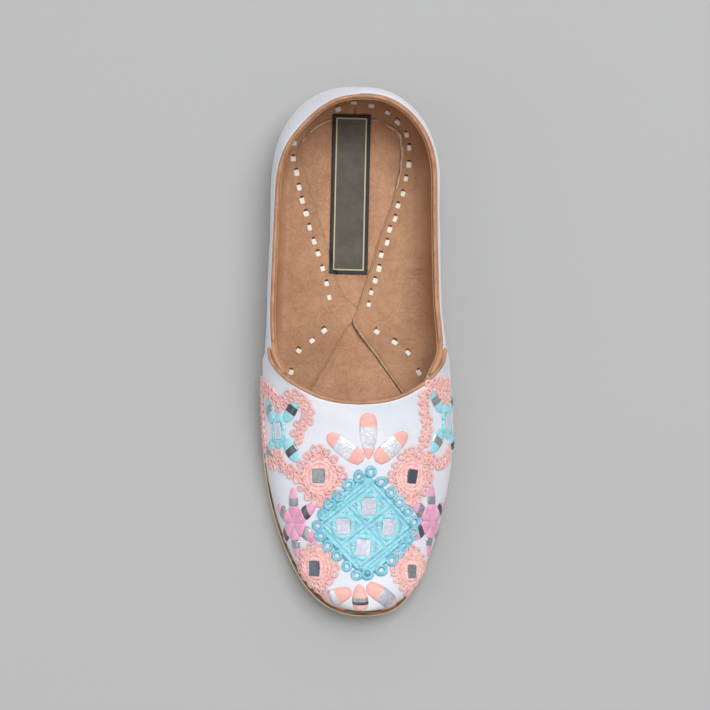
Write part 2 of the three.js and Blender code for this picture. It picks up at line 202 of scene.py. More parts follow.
LAST_LENGTH = SHOE_LENGTH - float(sole_reach(0.0))
LAST_TOE = float(sole_reach(0.0)) - SHOE_LENGTH / 2


def station_y(along):
    return LAST_TOE + LAST_LENGTH * along


def station_of(y):
    return np.clip((y - LAST_TOE) / LAST_LENGTH, 0, 1)


def ground_lift(along):
    spring = TOE_SPRING * np.maximum((0.27 - along) / 0.27, 0) ** 2.1
    return spring + ARCH_RISE * ease(0.46, 0.55, along) * (1 - ease(0.56, 0.65, along))


def last_width(along):
    toe = round_end(along * LAST_LENGTH, TOE_ROUNDING)
    heel = round_end((1 - along) * LAST_LENGTH, HEEL_ROUNDING)
    return BALL_HALF * section("width", along) * toe * heel


def crown_height(along):
    nose = 0.45 + 0.55 * round_end(along * LAST_LENGTH, TOE_NOSE)
    return INSTEP_HEIGHT * section("crown", along) * nose


def collar_rise(along):
    back = np.maximum((along - 0.7) / 0.3, 0)
    ear = 0.05 * SIDE_HEIGHT * (1 - ease(0.5, 0.58, along))
    return SIDE_HEIGHT + ear + (BACK_HEIGHT - SIDE_HEIGHT) * back**1.7


def share_of_turn(turn):
    return (1 - np.cos(turn)) / 2


def turn_of_share(along):
    return np.arccos(1 - 2 * np.asarray(along, dtype=float))


def outline_point(turn, side, offset, narrowing):
    """A point of the last's outline in plan, pushed out by an offset."""
    along = share_of_turn(turn)
    step = 0.004
    before = share_of_turn(np.maximum(turn - step, 0))
    after = share_of_turn(np.minimum(turn + step, math.pi))
    across_change = last_width(after) - last_width(before)
    along_change = LAST_LENGTH * (after - before)
    size = np.hypot(across_change, along_change)
    at_end = (turn <= 0) | (turn >= math.pi)
    normal_x = np.where(at_end, 0.0, along_change / size)
    normal_y = np.where(turn <= 0, -1.0, np.where(turn >= math.pi, 1.0, -across_change / size))
    swing = TOE_SWING * section("swing", along)
    x = swing + side * (last_width(along) + offset * normal_x) * narrowing
    return x, station_y(along) + offset * normal_y


def near_heel(along):
    return ease(0.78, 1.0, along)


def surface_point(turn, side, rise, narrowing, offset):
    """Points of the upper's surface at a rise above its feather edge."""
    along = share_of_turn(turn)
    below = np.maximum(1 - rise / BULGE_RISE, 0)
    tuck = FEATHER_TUCK * section("tuck", along) * below * below
    share = rise / collar_rise(along)
    above = np.maximum((share - 0.35) / 0.65, 0)
    from_dent = (side * (math.pi - turn) - DENT_TURN) / DENT_SPREAD
    dent = COUNTER_DENT * above**2 * np.exp(-(from_dent**2))
    x, y = outline_point(turn, side, offset - tuck - dent, narrowing)
    under = np.maximum((0.35 - share) / 0.35, 0)
    lean = near_heel(along) * (COUNTER_LEAN * above**2 + COUNTER_TUCK * under**2)
    z = FEATHER_BASE + ground_lift(along) + rise
    return np.stack(np.broadcast_arrays(x, y - lean, z), axis=-1)


def point_by_girth(turn, side, girth, offset):
    """Girth is 0 at the crown of a section and 1 at its feather edge."""
    along = share_of_turn(turn)
    power = 2 / section("arch", along)
    angle = (1 - girth) * math.pi / 2
    rise = (crown_height(along) + offset) * np.sin(angle) ** power
    return surface_point(turn, side, rise, np.abs(np.cos(angle)) ** power, offset)


def point_by_rise(turn, side, rise, offset):
    along = share_of_turn(turn)
    power = section("arch", along)
    share = np.clip(rise / (crown_height(along) + offset), 0, 1)
    return surface_point(turn, side, rise, (1 - share**power) ** (1 / power), offset)


def leather_noise(x, y, size, seed):
    """A smooth seeded field between -1 and 1, for dents and creases of about one size."""
    random = np.random.default_rng(seed)
    total = np.zeros(np.broadcast(x, y).shape)
    for _ in range(6):
        heading = random.uniform(0, 2 * math.pi)
        wave = size * random.uniform(0.7, 1.6)
        phase = random.uniform(0, 2 * math.pi)
        run = x * math.cos(heading) + y * math.sin(heading)
        total = total + np.sin(run * 2 * math.pi / wave + phase)
    return total / 6


# Soles
# Two plain cut leather soles, sewn and glued one on the other. The brown midsole shows its layered edge
# at the toe, and the outsole's edge is burnished with a cream line that catches the light.
SOLE_STATIONS = 160
RIGHT_TRIM = 1.5
MERGE = 0.0004


def make_piece(name, points, faces, materials, face_slots=None, uv=None, closed=False):
    """Makes one mesh piece from millimetre points, joins its doubled points and smooths its faces."""
    mesh = bpy.data.meshes.new(name)
    mesh.from_pydata((np.asarray(points) * MM).tolist(), [], [tuple(face) for face in faces])
    for material in materials:
        mesh.materials.append(material)
    if face_slots is not None:
        mesh.polygons.foreach_set("material_index", np.asarray(face_slots, dtype=np.int32))
    if uv is not None:
        layer = mesh.uv_layers.new(name="cloth")
        corners = np.empty(len(mesh.loops), dtype=np.int32)
        mesh.loops.foreach_get("vertex_index", corners)
        layer.data.foreach_set("uv", (np.asarray(uv) * MM)[corners].astype(np.float32).ravel())
    form = bmesh.new()
    form.from_mesh(mesh)
    bmesh.ops.remove_doubles(form, verts=form.verts, dist=MERGE * MM)
    bmesh.ops.dissolve_degenerate(form, edges=form.edges, dist=MERGE * MM)
    if closed:
        bmesh.ops.recalc_face_normals(form, faces=form.faces)
    form.to_mesh(mesh)
    form.free()
    mesh.shade_smooth()
    piece = bpy.data.objects.new(name, mesh)
    bpy.context.scene.collection.objects.link(piece)
    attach(piece, "root")
    return piece


def grid_faces(columns, rows, start=0, flip=False):
    """Faces of a grid of (columns + 1) by (rows + 1) points that are numbered along the rows."""
    faces = []
    stride = rows + 1
    for i in range(columns):
        for j in range(rows):
            a = start + i * stride + j
            face = (a, a + stride, a + stride + 1, a + 1)
            faces.append(face[::-1] if flip else face)
    return faces


def tube_faces(rings, sides, closed=False):
    """Faces of a tube between its rings of points. A closed tube joins its last ring to its first."""
    faces = []
    for i in range(rings if closed else rings - 1):
        low = i * sides
        high = (i + 1) % rings * sides
        for k in range(sides):
            after = (k + 1) % sides
            faces.append((low + k, low + after, high + after, high + k))
    return faces


def wall_faces(columns, rows, flip=False, pole=False):
    """Faces of a wall with slots 0 outside, 1 inside, 2 first rim and ends, 3 last rim.

    A wall that starts at a pole has no first rim.
    """
    size = (columns + 1) * (rows + 1)
    stride = rows + 1
    faces = grid_faces(columns, rows, 0, flip)
    slots = [0] * len(faces)
    inner = grid_faces(columns, rows, size, not flip)
    faces += inner
    slots += [1] * len(inner)
    rim = []
    for i in range(columns):
        low = i * stride
        high = low + rows
        if not pole:
            rim.append((low, size + low, size + low + stride, low + stride))
            slots.append(2)
        rim.append((high, high + stride, size + high + stride, size + high))
        slots.append(3)
    last = columns * stride
    for j in range(rows):
        rim.append((j, j + 1, size + j + 1, size + j))
        rim.append((last + j, size + last + j, size + last + j + 1, last + j + 1))
        slots += [2, 2]
    faces += [face[::-1] if flip else face for face in rim]
    return faces, slots


def new_group(name, inputs, outputs):
    """A shader node group with named number sockets."""
    group = bpy.data.node_groups.new(name, "ShaderNodeTree")
    for label, value in inputs.items():
        socket = group.interface.new_socket(label, in_out="INPUT", socket_type="NodeSocketFloat")
        socket.default_value = value
    for label in outputs:
        group.interface.new_socket(label, in_out="OUTPUT", socket_type="NodeSocketFloat")
    return group, group.nodes.new("NodeGroupInput"), group.nodes.new("NodeGroupOutput")


def add_node(tree, kind, settings=None, **values):
    """A node with its settings, its unlinked values and its links given in one place."""
    node = tree.nodes.new(kind)
    for key, value in (settings or {}).items():
        setattr(node, key, value)
    for key, value in values.items():
        numbered = key[0] == "i" and key[1:].isdigit()
        socket = node.inputs[int(key[1:]) if numbered else key]
        if isinstance(value, bpy.types.NodeSocket):
            tree.links.new(value, socket)
        else:
            socket.default_value = value
    return node


def object_place(tree):
    return tree.nodes.new("ShaderNodeTexCoord").outputs["Object"]


def noise(tree, place, scale, detail, **more):
    node = add_node(tree, "ShaderNodeTexNoise", None, Vector=place, Scale=scale, Detail=detail, **more)
    return node.outputs["Fac"]


def calculate(tree, operation, *values):
    sockets = {f"i{i}": value for i, value in enumerate(values)}
    return add_node(tree, "ShaderNodeMath", {"operation": operation}, **sockets).outputs[0]


def remap(tree, value, low, high, to_low=0.0, to_high=1.0, way="LINEAR"):
    """Spreads a value from one range to another."""
    return add_node(tree, "ShaderNodeMapRange", {"interpolation_type": way},
                    i0=value, i1=low, i2=high, i3=to_low, i4=to_high).outputs[0]


def mix_colours(tree, share, first, second, way="MIX"):
    """Mixes two colours or masks by a share, or multiplies them."""
    first, second = [(*tint, 1) if isinstance(tint, tuple) else tint for tint in (first, second)]
    return add_node(tree, "ShaderNodeMix", {"data_type": "RGBA", "blend_type": way},
                    i0=share, i6=first, i7=second).outputs[2]


def dress(tree, shader, tint, height, strength, depth):
    """Feeds a colour to a shader, and a relief of a depth in millimetres."""
    bump = add_node(tree, "ShaderNodeBump", None, Height=height, Strength=strength, Distance=depth * MM)
    tree.links.new(tint, shader.inputs["Base Color"])
    tree.links.new(bump.outputs["Normal"], shader.inputs["Normal"])


def grain_group():
    """Leather grain: fine pebbles, thin folds and slow mottling, as a height and a mask."""
    group, given, result = new_group("leather_grain", dict(Grain=1400.0, Mottle=60.0, Wrinkle=0.0),
                                     ("Height", "Mottling"))
    place = object_place(group)
    cells = add_node(group, "ShaderNodeTexVoronoi", {"feature": "SMOOTH_F1"}, Vector=place,
                     Scale=given.outputs["Grain"], Smoothness=0.6)
    fine = noise(group, place, 900.0, 4.0)
    height = calculate(group, "MULTIPLY_ADD", fine, 0.6, cells.outputs["Distance"])
    folds = noise(group, place, 150.0, 5.0, Roughness=0.62, Distortion=1.6)
    from_fold = calculate(group, "ABSOLUTE", calculate(group, "SUBTRACT", folds, 0.5))
    crease = remap(group, from_fold, 0.0, 0.05, way="SMOOTHSTEP")
    height = calculate(group, "MULTIPLY_ADD", crease, given.outputs["Wrinkle"], height)
    group.links.new(height, result.inputs["Height"])
    slow = noise(group, place, given.outputs["Mottle"], 5.0, Roughness=0.6)
    group.links.new(slow, result.inputs["Mottling"])
    return group


GRAIN = grain_group()
ROUGHNESS_SPREAD = 0.08


def leather(name, light, dark, roughness, depth, mottle=60.0, contrast=(0.35, 0.65), wrinkle=0.0):
    """Leather of two close colours, mottled, with fine grain."""
    material, tree, shader = new_material(name)
    grain = add_node(tree, "ShaderNodeGroup", {"node_tree": GRAIN}, Mottle=mottle, Wrinkle=wrinkle)
    mottling = grain.outputs["Mottling"]
    spread = remap(tree, mottling, *contrast, way="SMOOTHSTEP")
    dress(tree, shader, mix_colours(tree, spread, dark, light), grain.outputs["Height"], 0.5, depth)
    rough = remap(tree, mottling, 0.0, 1.0, roughness - ROUGHNESS_SPREAD, roughness + ROUGHNESS_SPREAD)
    tree.links.new(rough, shader.inputs["Roughness"])
    set_inputs(shader, Specular_IOR_Level=0.35)
    return material


def layered_edge(name, light, dark):
    """The cut edge of stacked leather: thin streaks that run along the edge."""
    material = leather(name, light, dark, 0.6, 0.03)
    tree = material.node_tree
    flat = add_node(tree, "ShaderNodeMapping", None, Vector=object_place(tree),
                    Scale=(60.0, 60.0, 1900.0))
    streak = remap(tree, noise(tree, flat.outputs[0], 1.0, 3.0), 0.38, 0.62)
    tint = mix_colours(tree, streak, dark, light)
    tree.links.new(tint, tree.nodes["Principled BSDF"].inputs["Base Color"])
    return material


outsole_leather = layered_edge("outsole_edge", (0.62, 0.52, 0.28), (0.36, 0.27, 0.13))
cream_line = leather("cream_edge_line", (0.83, 0.77, 0.52), (0.68, 0.58, 0.32), 0.45, 0.02)
midsole_leather = layered_edge("midsole_edge", (0.30, 0.15, 0.07), (0.10, 0.04, 0.02))
SOLE_LEATHERS = [outsole_leather, cream_line, midsole_leather]


def make_sole(name, base, profile, slots, node):
    """A sole drawn round its edge profile: rows of height and of how far the edge stands in or out."""
    turns = np.linspace(0, math.pi, SOLE_STATIONS + 1)
    along = share_of_turn(turns)
    rings = []
    for row in profile:
        ring = []
        for side, order in ((1, slice(None)), (-1, slice(-2, 0, -1))):
            trim = RIGHT_TRIM * (side > 0) * ease(0.005, 0.05, along) * (1 - ease(0.4, 0.5, along))
            x, y = outline_point(turns, side, sole_reach(along) - row["inset"] - trim, 1.0)
            y = y - COUNTER_TUCK * near_heel(along)
            z = base + ground_lift(along) + row["height"]
            ring.append(np.stack([x, y, z], axis=-1)[order])
        rings.append(np.concatenate(ring))
    points = np.concatenate(rings)
    count = len(rings[0])
    faces = tube_faces(len(profile), count)
    face_slots = [slot for slot in slots for _ in range(count)]
    for base_at, flip in ((0, True), ((len(profile) - 1) * count, False)):
        for i in range(1, count // 2):
            quad = (base_at + i, base_at + i + 1, base_at + count - i - 1, base_at + count - i)
            if i == count // 2 - 1:
                quad = quad[:2] + quad[3:]
            faces.append(quad[::-1] if flip else quad)
            face_slots.append(slots[0] if flip else slots[-1])
        tip = (base_at, base_at + 1, base_at + count - 1)
        faces.append(tip[::-1] if flip else tip)
        face_slots.append(slots[0] if flip else slots[-1])
    piece = make_piece(name, points, faces, SOLE_LEATHERS, face_slots)
    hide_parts(node)


OUTSOLE_EDGE = [
    dict(height=0.0, inset=0.9),
    dict(height=0.25, inset=0.35),
    dict(height=0.9, inset=0.05),
    dict(height=1.6, inset=0.0),
    dict(height=2.2, inset=0.0),
    dict(height=2.8, inset=0.05),
    dict(height=3.0, inset=0.25),
]
MIDSOLE_EDGE = [
    dict(height=0.0, inset=0.75),
    dict(height=0.2, inset=0.55),
    dict(height=1.2, inset=0.5),
    dict(height=2.3, inset=0.6),
    dict(height=2.5, inset=0.85),
]
make_sole("outsole_cut", 0.0, OUTSOLE_EDGE, [0, 0, 0, 1, 1, 1], "outsole")
make_sole("midsole_cut", OUTSOLE + CLEAR, MIDSOLE_EDGE, [2] * 4, "midsole")

# Insole
# One thin tan leather footbed, cut a little smaller than the inside of the upper and glued down on the
# midsole. It is pressed into fine creases under the ball of the foot.
INSOLE_COLUMNS = 36
CREASE_X = -6.0
CREASE_Y = -18.0
CREASE_WIDE = 14.0
CREASE_LONG = 16.0
CREASE_HEIGHT = 0.10
DENT_HEIGHT = 0.10
lining_leather = leather("lining_leather", (0.52, 0.275, 0.15), (0.43, 0.205, 0.10), 0.5, 0.05, 45.0)
footbed_leather = leather("footbed_leather", (0.56, 0.30, 0.17), (0.41, 0.20, 0.105), 0.5, 0.06, 55.0,
                          (0.25, 0.75), 2.6)


def footbed_top(y):
    return FEATHER_BASE + INSOLE + ground_lift(station_of(y))


def footbed_crease(x, y):
    """Fine pressed creases side by side under the ball, and soft dents over the whole footbed."""
    fan = np.sin((0.55 * x + 0.9 * y) * 1.1 + 2.2 * leather_noise(x, y, 22, 5))
    near = np.exp(-(((y - CREASE_Y) / CREASE_LONG) ** 2) - ((x - CREASE_X) / CREASE_WIDE) ** 2)
    return CREASE_HEIGHT * fan * near + DENT_HEIGHT * leather_noise(x, y, 17, 6)


def insole_points(lift):
    turns = np.linspace(0, math.pi, SOLE_STATIONS + 1)
    along = share_of_turn(turns)
    offset = -FEATHER_TUCK * section("tuck", along) - WALL - CLEAR
    rows = []
    for share in np.linspace(-1, 1, INSOLE_COLUMNS + 1):
        x, y = outline_point(turns, 1, offset, 1.0)
        middle, _ = outline_point(turns, 1, offset, 0.0)
        x = middle + (x - middle) * share
        y = y - COUNTER_TUCK * near_heel(along)
        z = FEATHER_BASE + ground_lift(along) + lift + (footbed_crease(x, y) if lift > 0 else 0)
        rows.append(np.stack([x, y, z], axis=-1))
    return np.stack(rows).reshape(-1, 3)


insole_faces, _ = wall_faces(INSOLE_COLUMNS, SOLE_STATIONS)
insole_grid = np.concatenate([insole_points(INSOLE - 0.1), insole_points(0.0)])
insole_piece = make_piece("footbed", insole_grid, insole_faces, [footbed_leather])
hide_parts("insole")

# Upper: quarter and vamp
# White satin laid over thin leather. The quarter runs round the heel with its top edge turned over, and
# the vamp laps over its front ends with two small ears. Inside, both are lined in tan leather.
QUARTER_COLUMNS = 320
QUARTER_ROWS = 44
QUARTER_FRONT_AT = 0.44
BOUND_ROWS = 6
LEFT_ROLL = 0.35
RIGHT_ROLL = 1.1
VAMP_COLUMNS = 240
VAMP_ROWS = 180


def cloth_place(tree):
    return add_node(tree, "ShaderNodeUVMap", {"uv_map": "cloth"}).outputs["UV"]


def weave_group():
    """Satin weave on a piece's own cloth map: long floats across fine ribs."""
    group, given, result = new_group("satin_weave", dict(Threads=4200.0), ("Height", "Slub"))
    place = cloth_place(group)
    ribs = []
    for heading in ("X", "Y"):
        wave = add_node(group, "ShaderNodeTexWave", {"bands_direction": heading}, Vector=place,
                        Scale=given.outputs["Threads"], Distortion=0.4)
        ribs.append(wave.outputs["Fac"])
    group.links.new(calculate(group, "MULTIPLY", *ribs), result.inputs["Height"])
    stretch = add_node(group, "ShaderNodeMapping", None, Vector=place, Scale=(900.0, 60.0, 1.0))
    group.links.new(noise(group, stretch.outputs[0], 1.0, 3.0), result.inputs["Slub"])
    return group


WEAVE = weave_group()


def satin(name, light, shade):
    """Satin of two close tones: fine weave, faint patches, a little soil, a soft sheen."""
    material, tree, shader = new_material(name)
    weave = add_node(tree, "ShaderNodeGroup", {"node_tree": WEAVE})
    patch = remap(tree, noise(tree, object_place(tree), 38.0, 3.0), 0.35, 0.65)
    soil = remap(tree, weave.outputs["Slub"], 0.3, 0.7, 0.965, 1.0)
    soil_and_crease_shade = mix_colours(tree, 1.0, mix_colours(tree, patch, shade, light), soil, "MULTIPLY")
    dress(tree, shader, soil_and_crease_shade, weave.outputs["Height"], 0.35, 0.05)
    set_inputs(shader, Roughness=0.48, Sheen_Weight=0.25, Specular_IOR_Level=0.4)
    return material


white_satin = satin("white_satin", (0.80, 0.80, 0.875), (0.70, 0.735, 0.80))


def cloth_map(outer, columns, rows):
    """Arc lengths along both directions of a grid, for cloth that follows the surface."""
    grid = outer.reshape(columns + 1, rows + 1, 3)
    across = np.zeros(grid.shape[:2])
    across[1:] = np.cumsum(np.linalg.norm(np.diff(grid, axis=0), axis=-1), axis=0)
    up = np.zeros(grid.shape[:2])
    up[:, 1:] = np.cumsum(np.linalg.norm(np.diff(grid, axis=1), axis=-1), axis=1)
    return np.stack([across, up], axis=-1).reshape(-1, 2)


def quarter_points(offset, relief):
    front = float(turn_of_share(QUARTER_FRONT_AT))
    place = np.linspace(-1, 1, QUARTER_COLUMNS + 1)[:, None]
    share = np.linspace(0, 1, QUARTER_ROWS + 1)[None, :]
    turns = math.pi - (math.pi - front) * np.abs(place)
    rise = collar_rise(share_of_turn(turns)) * share**1.15
    side = np.where(place < 0, 1.0, -1.0)
    along = share_of_turn(turns)
    girth = side * along * LAST_LENGTH
    dents = 0.35 * leather_noise(girth, rise * 1.6, 34, 11) + 0.12 * leather_noise(girth, rise, 13, 12)
    dents = relief * dents * ease(0.0, 0.15, share) * (1 - ease(0.85, 1.0, share))
    roll = np.where(place < 0, RIGHT_ROLL, LEFT_ROLL) * ease(1.0, 0.93, np.abs(place))
    roll = relief * roll * ease(0.72, 0.93, share) * (1 - 0.55 * ease(0.95, 1.0, share))
    return point_by_rise(turns, side, rise, offset + dents + roll).reshape(-1, 3)


quarter_outer = quarter_points(0.0, 1.0)
quarter_inner = quarter_points(-WALL, 0.0)
quarter_faces, quarter_slots = wall_faces(QUARTER_COLUMNS, QUARTER_ROWS)
quarter_back = math.pi - float(turn_of_share(QUARTER_FRONT_AT))
for column in range(QUARTER_COLUMNS):
    place = abs(2 * (column + 0.5) / QUARTER_COLUMNS - 1)
    if share_of_turn(math.pi - quarter_back * place) < EAR_AT:
        last = (column + 1) * QUARTER_ROWS
        quarter_slots[last - BOUND_ROWS:last] = [3] * BOUND_ROWS
quarter_uv = cloth_map(quarter_outer, QUARTER_COLUMNS, QUARTER_ROWS)
quarter_piece = make_piece("quarter_satin", np.concatenate([quarter_outer, quarter_inner]),
                           quarter_faces, [white_satin, lining_leather] * 2, quarter_slots,
                           np.concatenate([quarter_uv, quarter_uv]))
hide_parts("upper")

EAR_ANGLE = math.asin(float(((collar_rise(EAR_AT) - EAR_DROP) / crown_height(EAR_AT))
                            ** (section("arch", EAR_AT) / 2)))
EAR_GIRTH = 1 - EAR_ANGLE / (math.pi / 2)


def throat_turn(girth):
    """The vamp's rear edge: the bowed throat up to the ear, then the side seam down to the feather."""
    back = read_column(THROAT_LINE, "back", girth / EAR_GIRTH)
    throat = THROAT_AT + (EAR_AT - THROAT_AT) * back
    down = (girth - EAR_GIRTH) / (1 - EAR_GIRTH)
    seam = EAR_AT + (SEAM_FOOT_AT - EAR_AT) * np.clip(down, 0, 1)
    return turn_of_share(np.where(girth <= EAR_GIRTH, throat, seam))


# Soft troughs and ridges of the vamp: across and along in shares of half the ball width
# and of the length, its heading in degrees, its reach along and across the fold, and its height.
VAMP_FOLDS = [
    dict(across=-0.55, along=0.40, heading=35, length=16, width=3.5, height=-0.45),
    dict(across=-0.30, along=0.375, heading=12, length=14, width=3.0, height=0.30),
    dict(across=0.10, along=0.372, heading=-5, length=17, width=3.2, height=-0.30),
    dict(across=0.48, along=0.395, heading=-28, length=15, width=3.5, height=-0.40),
    dict(across=0.72, along=0.43, heading=-60, length=14, width=3.0, height=0.35),
    dict(across=-0.80, along=0.43, heading=62, length=14, width=3.0, height=0.35),
    dict(across=-0.85, along=0.27, heading=80, length=18, width=4.0, height=-0.35),
    dict(across=0.85, along=0.29, heading=-78, length=18, width=4.0, height=-0.35),
    dict(across=-0.70, along=0.16, heading=65, length=12, width=3.0, height=-0.30),
    dict(across=0.72, along=0.15, heading=-62, length=12, width=3.0, height=-0.30),
    dict(across=0.0, along=0.055, heading=2, length=15, width=2.6, height=-0.30),
]


def vamp_relief(x, y):
    """How far the satin stands off the smooth last."""
    total = 0.22 * leather_noise(x, y, 26, 21) + 0.08 * leather_noise(x, y, 9, 22)
    for fold in VAMP_FOLDS:
        dx = x - fold["across"] * BALL_HALF
        dy = y - station_y(fold["along"])
        heading = math.radians(fold["heading"])
        run = dx * math.cos(heading) + dy * math.sin(heading)
        over = dy * math.cos(heading) - dx * math.sin(heading)
        near = np.exp(-((run / fold["length"]) ** 2) - (over / fold["width"]) ** 2)
        total = total + fold["height"] * near
    return total


def vamp_point(turn, side, girth, lift):
    """Points of the vamp's outer face, on its folds and at a lift above the satin."""
    flat = point_by_girth(turn, side, girth, VAMP_STEP)
    fade = ease(0.0, 0.06, share_of_turn(turn)) * (1 - ease(0.86, 1.0, girth))
    edge = ease(0.0, 0.035, share_of_turn(throat_turn(girth)) - share_of_turn(turn))
    relief = vamp_relief(flat[..., 0], flat[..., 1]) * fade * edge
    return point_by_girth(turn, side, girth, VAMP_STEP + relief + lift)


def vamp_grid(inner):
    half = VAMP_COLUMNS // 2
    steps = np.linspace(0, 1, half + 1)
    split = int(half * 0.72)
    crown_part = EAR_GIRTH * (1 - (1 - np.arange(split + 1) / split) ** 1.25)
    side_part = EAR_GIRTH + (1 - EAR_GIRTH) * np.arange(1, half - split + 1) / (half - split)
    girth_half = np.concatenate([crown_part, side_part])
    girth = np.concatenate([girth_half[::-1], girth_half[1:]])[:, None]
    side = np.concatenate([-np.ones(half), np.ones(half + 1)])[:, None]
    share = np.linspace(0, 1, VAMP_ROWS + 1)[None, :]
    turns = throat_turn(girth) * share
    if inner:
        return point_by_girth(turns, side, girth + 0 * share, VAMP_STEP - WALL).reshape(-1, 3)
    return vamp_point(turns, side, girth + 0 * share, 0.0).reshape(-1, 3)


vamp_outer = vamp_grid(inner=False)
vamp_inner = vamp_grid(inner=True)
vamp_faces, vamp_slots = wall_faces(VAMP_COLUMNS, VAMP_ROWS, pole=True)
vamp_uv = cloth_map(vamp_outer, VAMP_COLUMNS, VAMP_ROWS)
vamp_piece = make_piece("vamp_satin", np.concatenate([vamp_outer, vamp_inner]), vamp_faces,
                        [white_satin, lining_leather, white_satin, white_satin], vamp_slots,
                        np.concatenate([vamp_uv, vamp_uv]))
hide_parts("upper")

# Lining
# Soft tan leather, glued inside the quarter and turned in over the footbed as two long flaps. The
# right flap lies over the left where they cross at the waist, and its raw underside shows at its edge.
LINING_COLUMNS = 230
LINING_WALL_ROWS = 16
LINING_COVE_ROWS = 8
LINING_FLAT_ROWS = 26
LINING_WALL = 0.55
FLAP = 1.1
COVE = 6.0
LEFT_EDGE = dict(
    along=(0.33, 0.38, 0.43, 0.49, 0.535, 0.575, 0.61, 0.645, 0.695, 0.833, 0.875, 0.905, 0.94,
           0.97, 0.99, 1.0),
    edge_along=(0.335, 0.372, 0.423, 0.489, 0.538, 0.575, 0.605, 0.645, 0.695, 0.833, 0.875, 0.904,
                0.927, 0.943, 0.951, 0.955),
    across=(0.75, 0.62, 0.458, 0.245, 0.09, -0.05, 0.12, 0.202, 0.287, 0.5, 0.575, 0.565, 0.52, 0.4,
            0.28, 0.004),
)
RIGHT_EDGE = dict(
    along=(0.33, 0.375, 0.41, 0.468, 0.5, 0.535, 0.552, 0.579, 0.648, 0.712, 0.796, 0.833, 0.867,
           0.905, 0.935, 0.965, 0.985, 1.0),
    edge_along=(0.335, 0.37, 0.41, 0.468, 0.493, 0.534, 0.552, 0.579, 0.648, 0.712, 0.796, 0.833,
                0.867, 0.904, 0.9275, 0.942, 0.951, 0.955),
    across=(0.76, 0.64, 0.511, 0.288, 0.19, 0.02, -0.03, 0.02, 0.149, 0.245, 0.405, 0.447, 0.48,
            0.48, 0.436, 0.33, 0.22, 0.004),
)
STITCH_ROWS = [
    dict(photo_x=(294, 293, 296.5, 299, 302, 306, 309.5, 314, 318, 322.5, 326.6, 329),
         photo_y=(143, 159, 173, 188, 201, 214, 228, 242, 254, 269, 284, 298)),
    dict(photo_x=(338, 354, 371.5, 388, 398), photo_y=(109, 102.5, 105.5, 112.5, 122)),
    dict(photo_x=(407, 409.5, 409, 406, 403, 398, 395, 389.6, 387, 381, 379, 375, 371, 368.6),
         photo_y=(135, 148, 165, 179, 194, 206, 219, 230, 243, 255.5, 269, 281, 293, 305)),
    dict(photo_x=(324, 312, 298.6, 291), photo_y=(331, 341, 351, 372.5)),
    dict(photo_x=(376.6, 394.6, 408, 419), photo_y=(332, 342.6, 353, 373)),
]
FLOOR_PIXEL = 0.478
FLOOR_SHIFT = -0.9
CHANNEL_DEPTH = 0.22
CHANNEL_WIDTH = 1.2
OVERLAP_FROM = 0.52
OVERLAP_TO = 0.66
OVERLAP_ACROSS = 0.24
flap_leather = leather("flap_leather", (0.50, 0.27, 0.145), (0.37, 0.175, 0.085), 0.48, 0.06, 55.0,
                       (0.22, 0.78), 2.2)
raw_leather = leather("raw_leather", (0.80, 0.70, 0.55), (0.60, 0.47, 0.33), 0.8, 0.06, 260.0)


def raw_pull(side, along):
    """How far a flap's face stops short of its pale underside: most at the ends of the right flap."""
    heel = 1.3 * ease(0.78, 0.84, along) * (1 - ease(0.95, 0.98, along))
    heel = heel * (0.65 + 0.5 * leather_noise(along * LAST_LENGTH, 0 * along, 6, 32))
    front = 0.9 * (1 - ease(0.54, 0.57, along))
    return 0.4 + (heel + front) * (side > 0)


def flap_edge(edge, side, along, pull=0.0):
    """The inner edge of a flap in plan, slightly ragged as cut by hand."""
    ragged = 0.5 * leather_noise(along * LAST_LENGTH, along * 0, 9, 31) * ease(0.82, 0.9, along)
    x = side * BALL_HALF * read_column(edge, "across", along)
    x = x - side * (ragged - pull) * (1 - ease(0.97, 1.0, along))
    return x, station_y(read_column(edge, "edge_along", along))


def stitch_channel(x, y):
    """The shallow channel that the stitches pull into the leather along their rows."""
    nearest = np.full(np.shape(x), np.inf)
    for row in STITCH_ROWS:
        row_x = (np.array(row["photo_x"]) - IMAGE_SIZE / 2) * FLOOR_PIXEL
        row_y = (IMAGE_SIZE / 2 - np.array(row["photo_y"])) * FLOOR_PIXEL + FLOOR_SHIFT
        for i in range(len(row_x) - 1):
            run_x = row_x[i + 1] - row_x[i]
            run_y = row_y[i + 1] - row_y[i]
            share = ((x - row_x[i]) * run_x + (y - row_y[i]) * run_y) / (run_x**2 + run_y**2)
            share = np.clip(share, 0, 1)
            away = np.hypot(x - row_x[i] - share * run_x, y - row_y[i] - share * run_y)
            nearest = np.minimum(nearest, away)
    return -CHANNEL_DEPTH * np.exp(-((nearest / CHANNEL_WIDTH) ** 2))


def flap_lift(x, y, lifted):
    """How far a flap stands off the footbed: over the other flap, and in its own soft wrinkles."""
    over = 1 - ease(0.3 * OVERLAP_ACROSS, OVERLAP_ACROSS, np.abs(x) / BALL_HALF)
    near = ease(OVERLAP_FROM - 0.06, OVERLAP_FROM, station_of(y))
    past = 1 - ease(OVERLAP_TO - 0.02, OVERLAP_TO + 0.04, station_of(y))
    wrinkle = 0.10 * leather_noise(x * 2.2, y * 0.55, 11, 41) + 0.12 * leather_noise(x, y, 19, 42)
    return lifted * (FLAP + CLEAR) * over * near * past + wrinkle + 0.12 + stitch_channel(x, y)


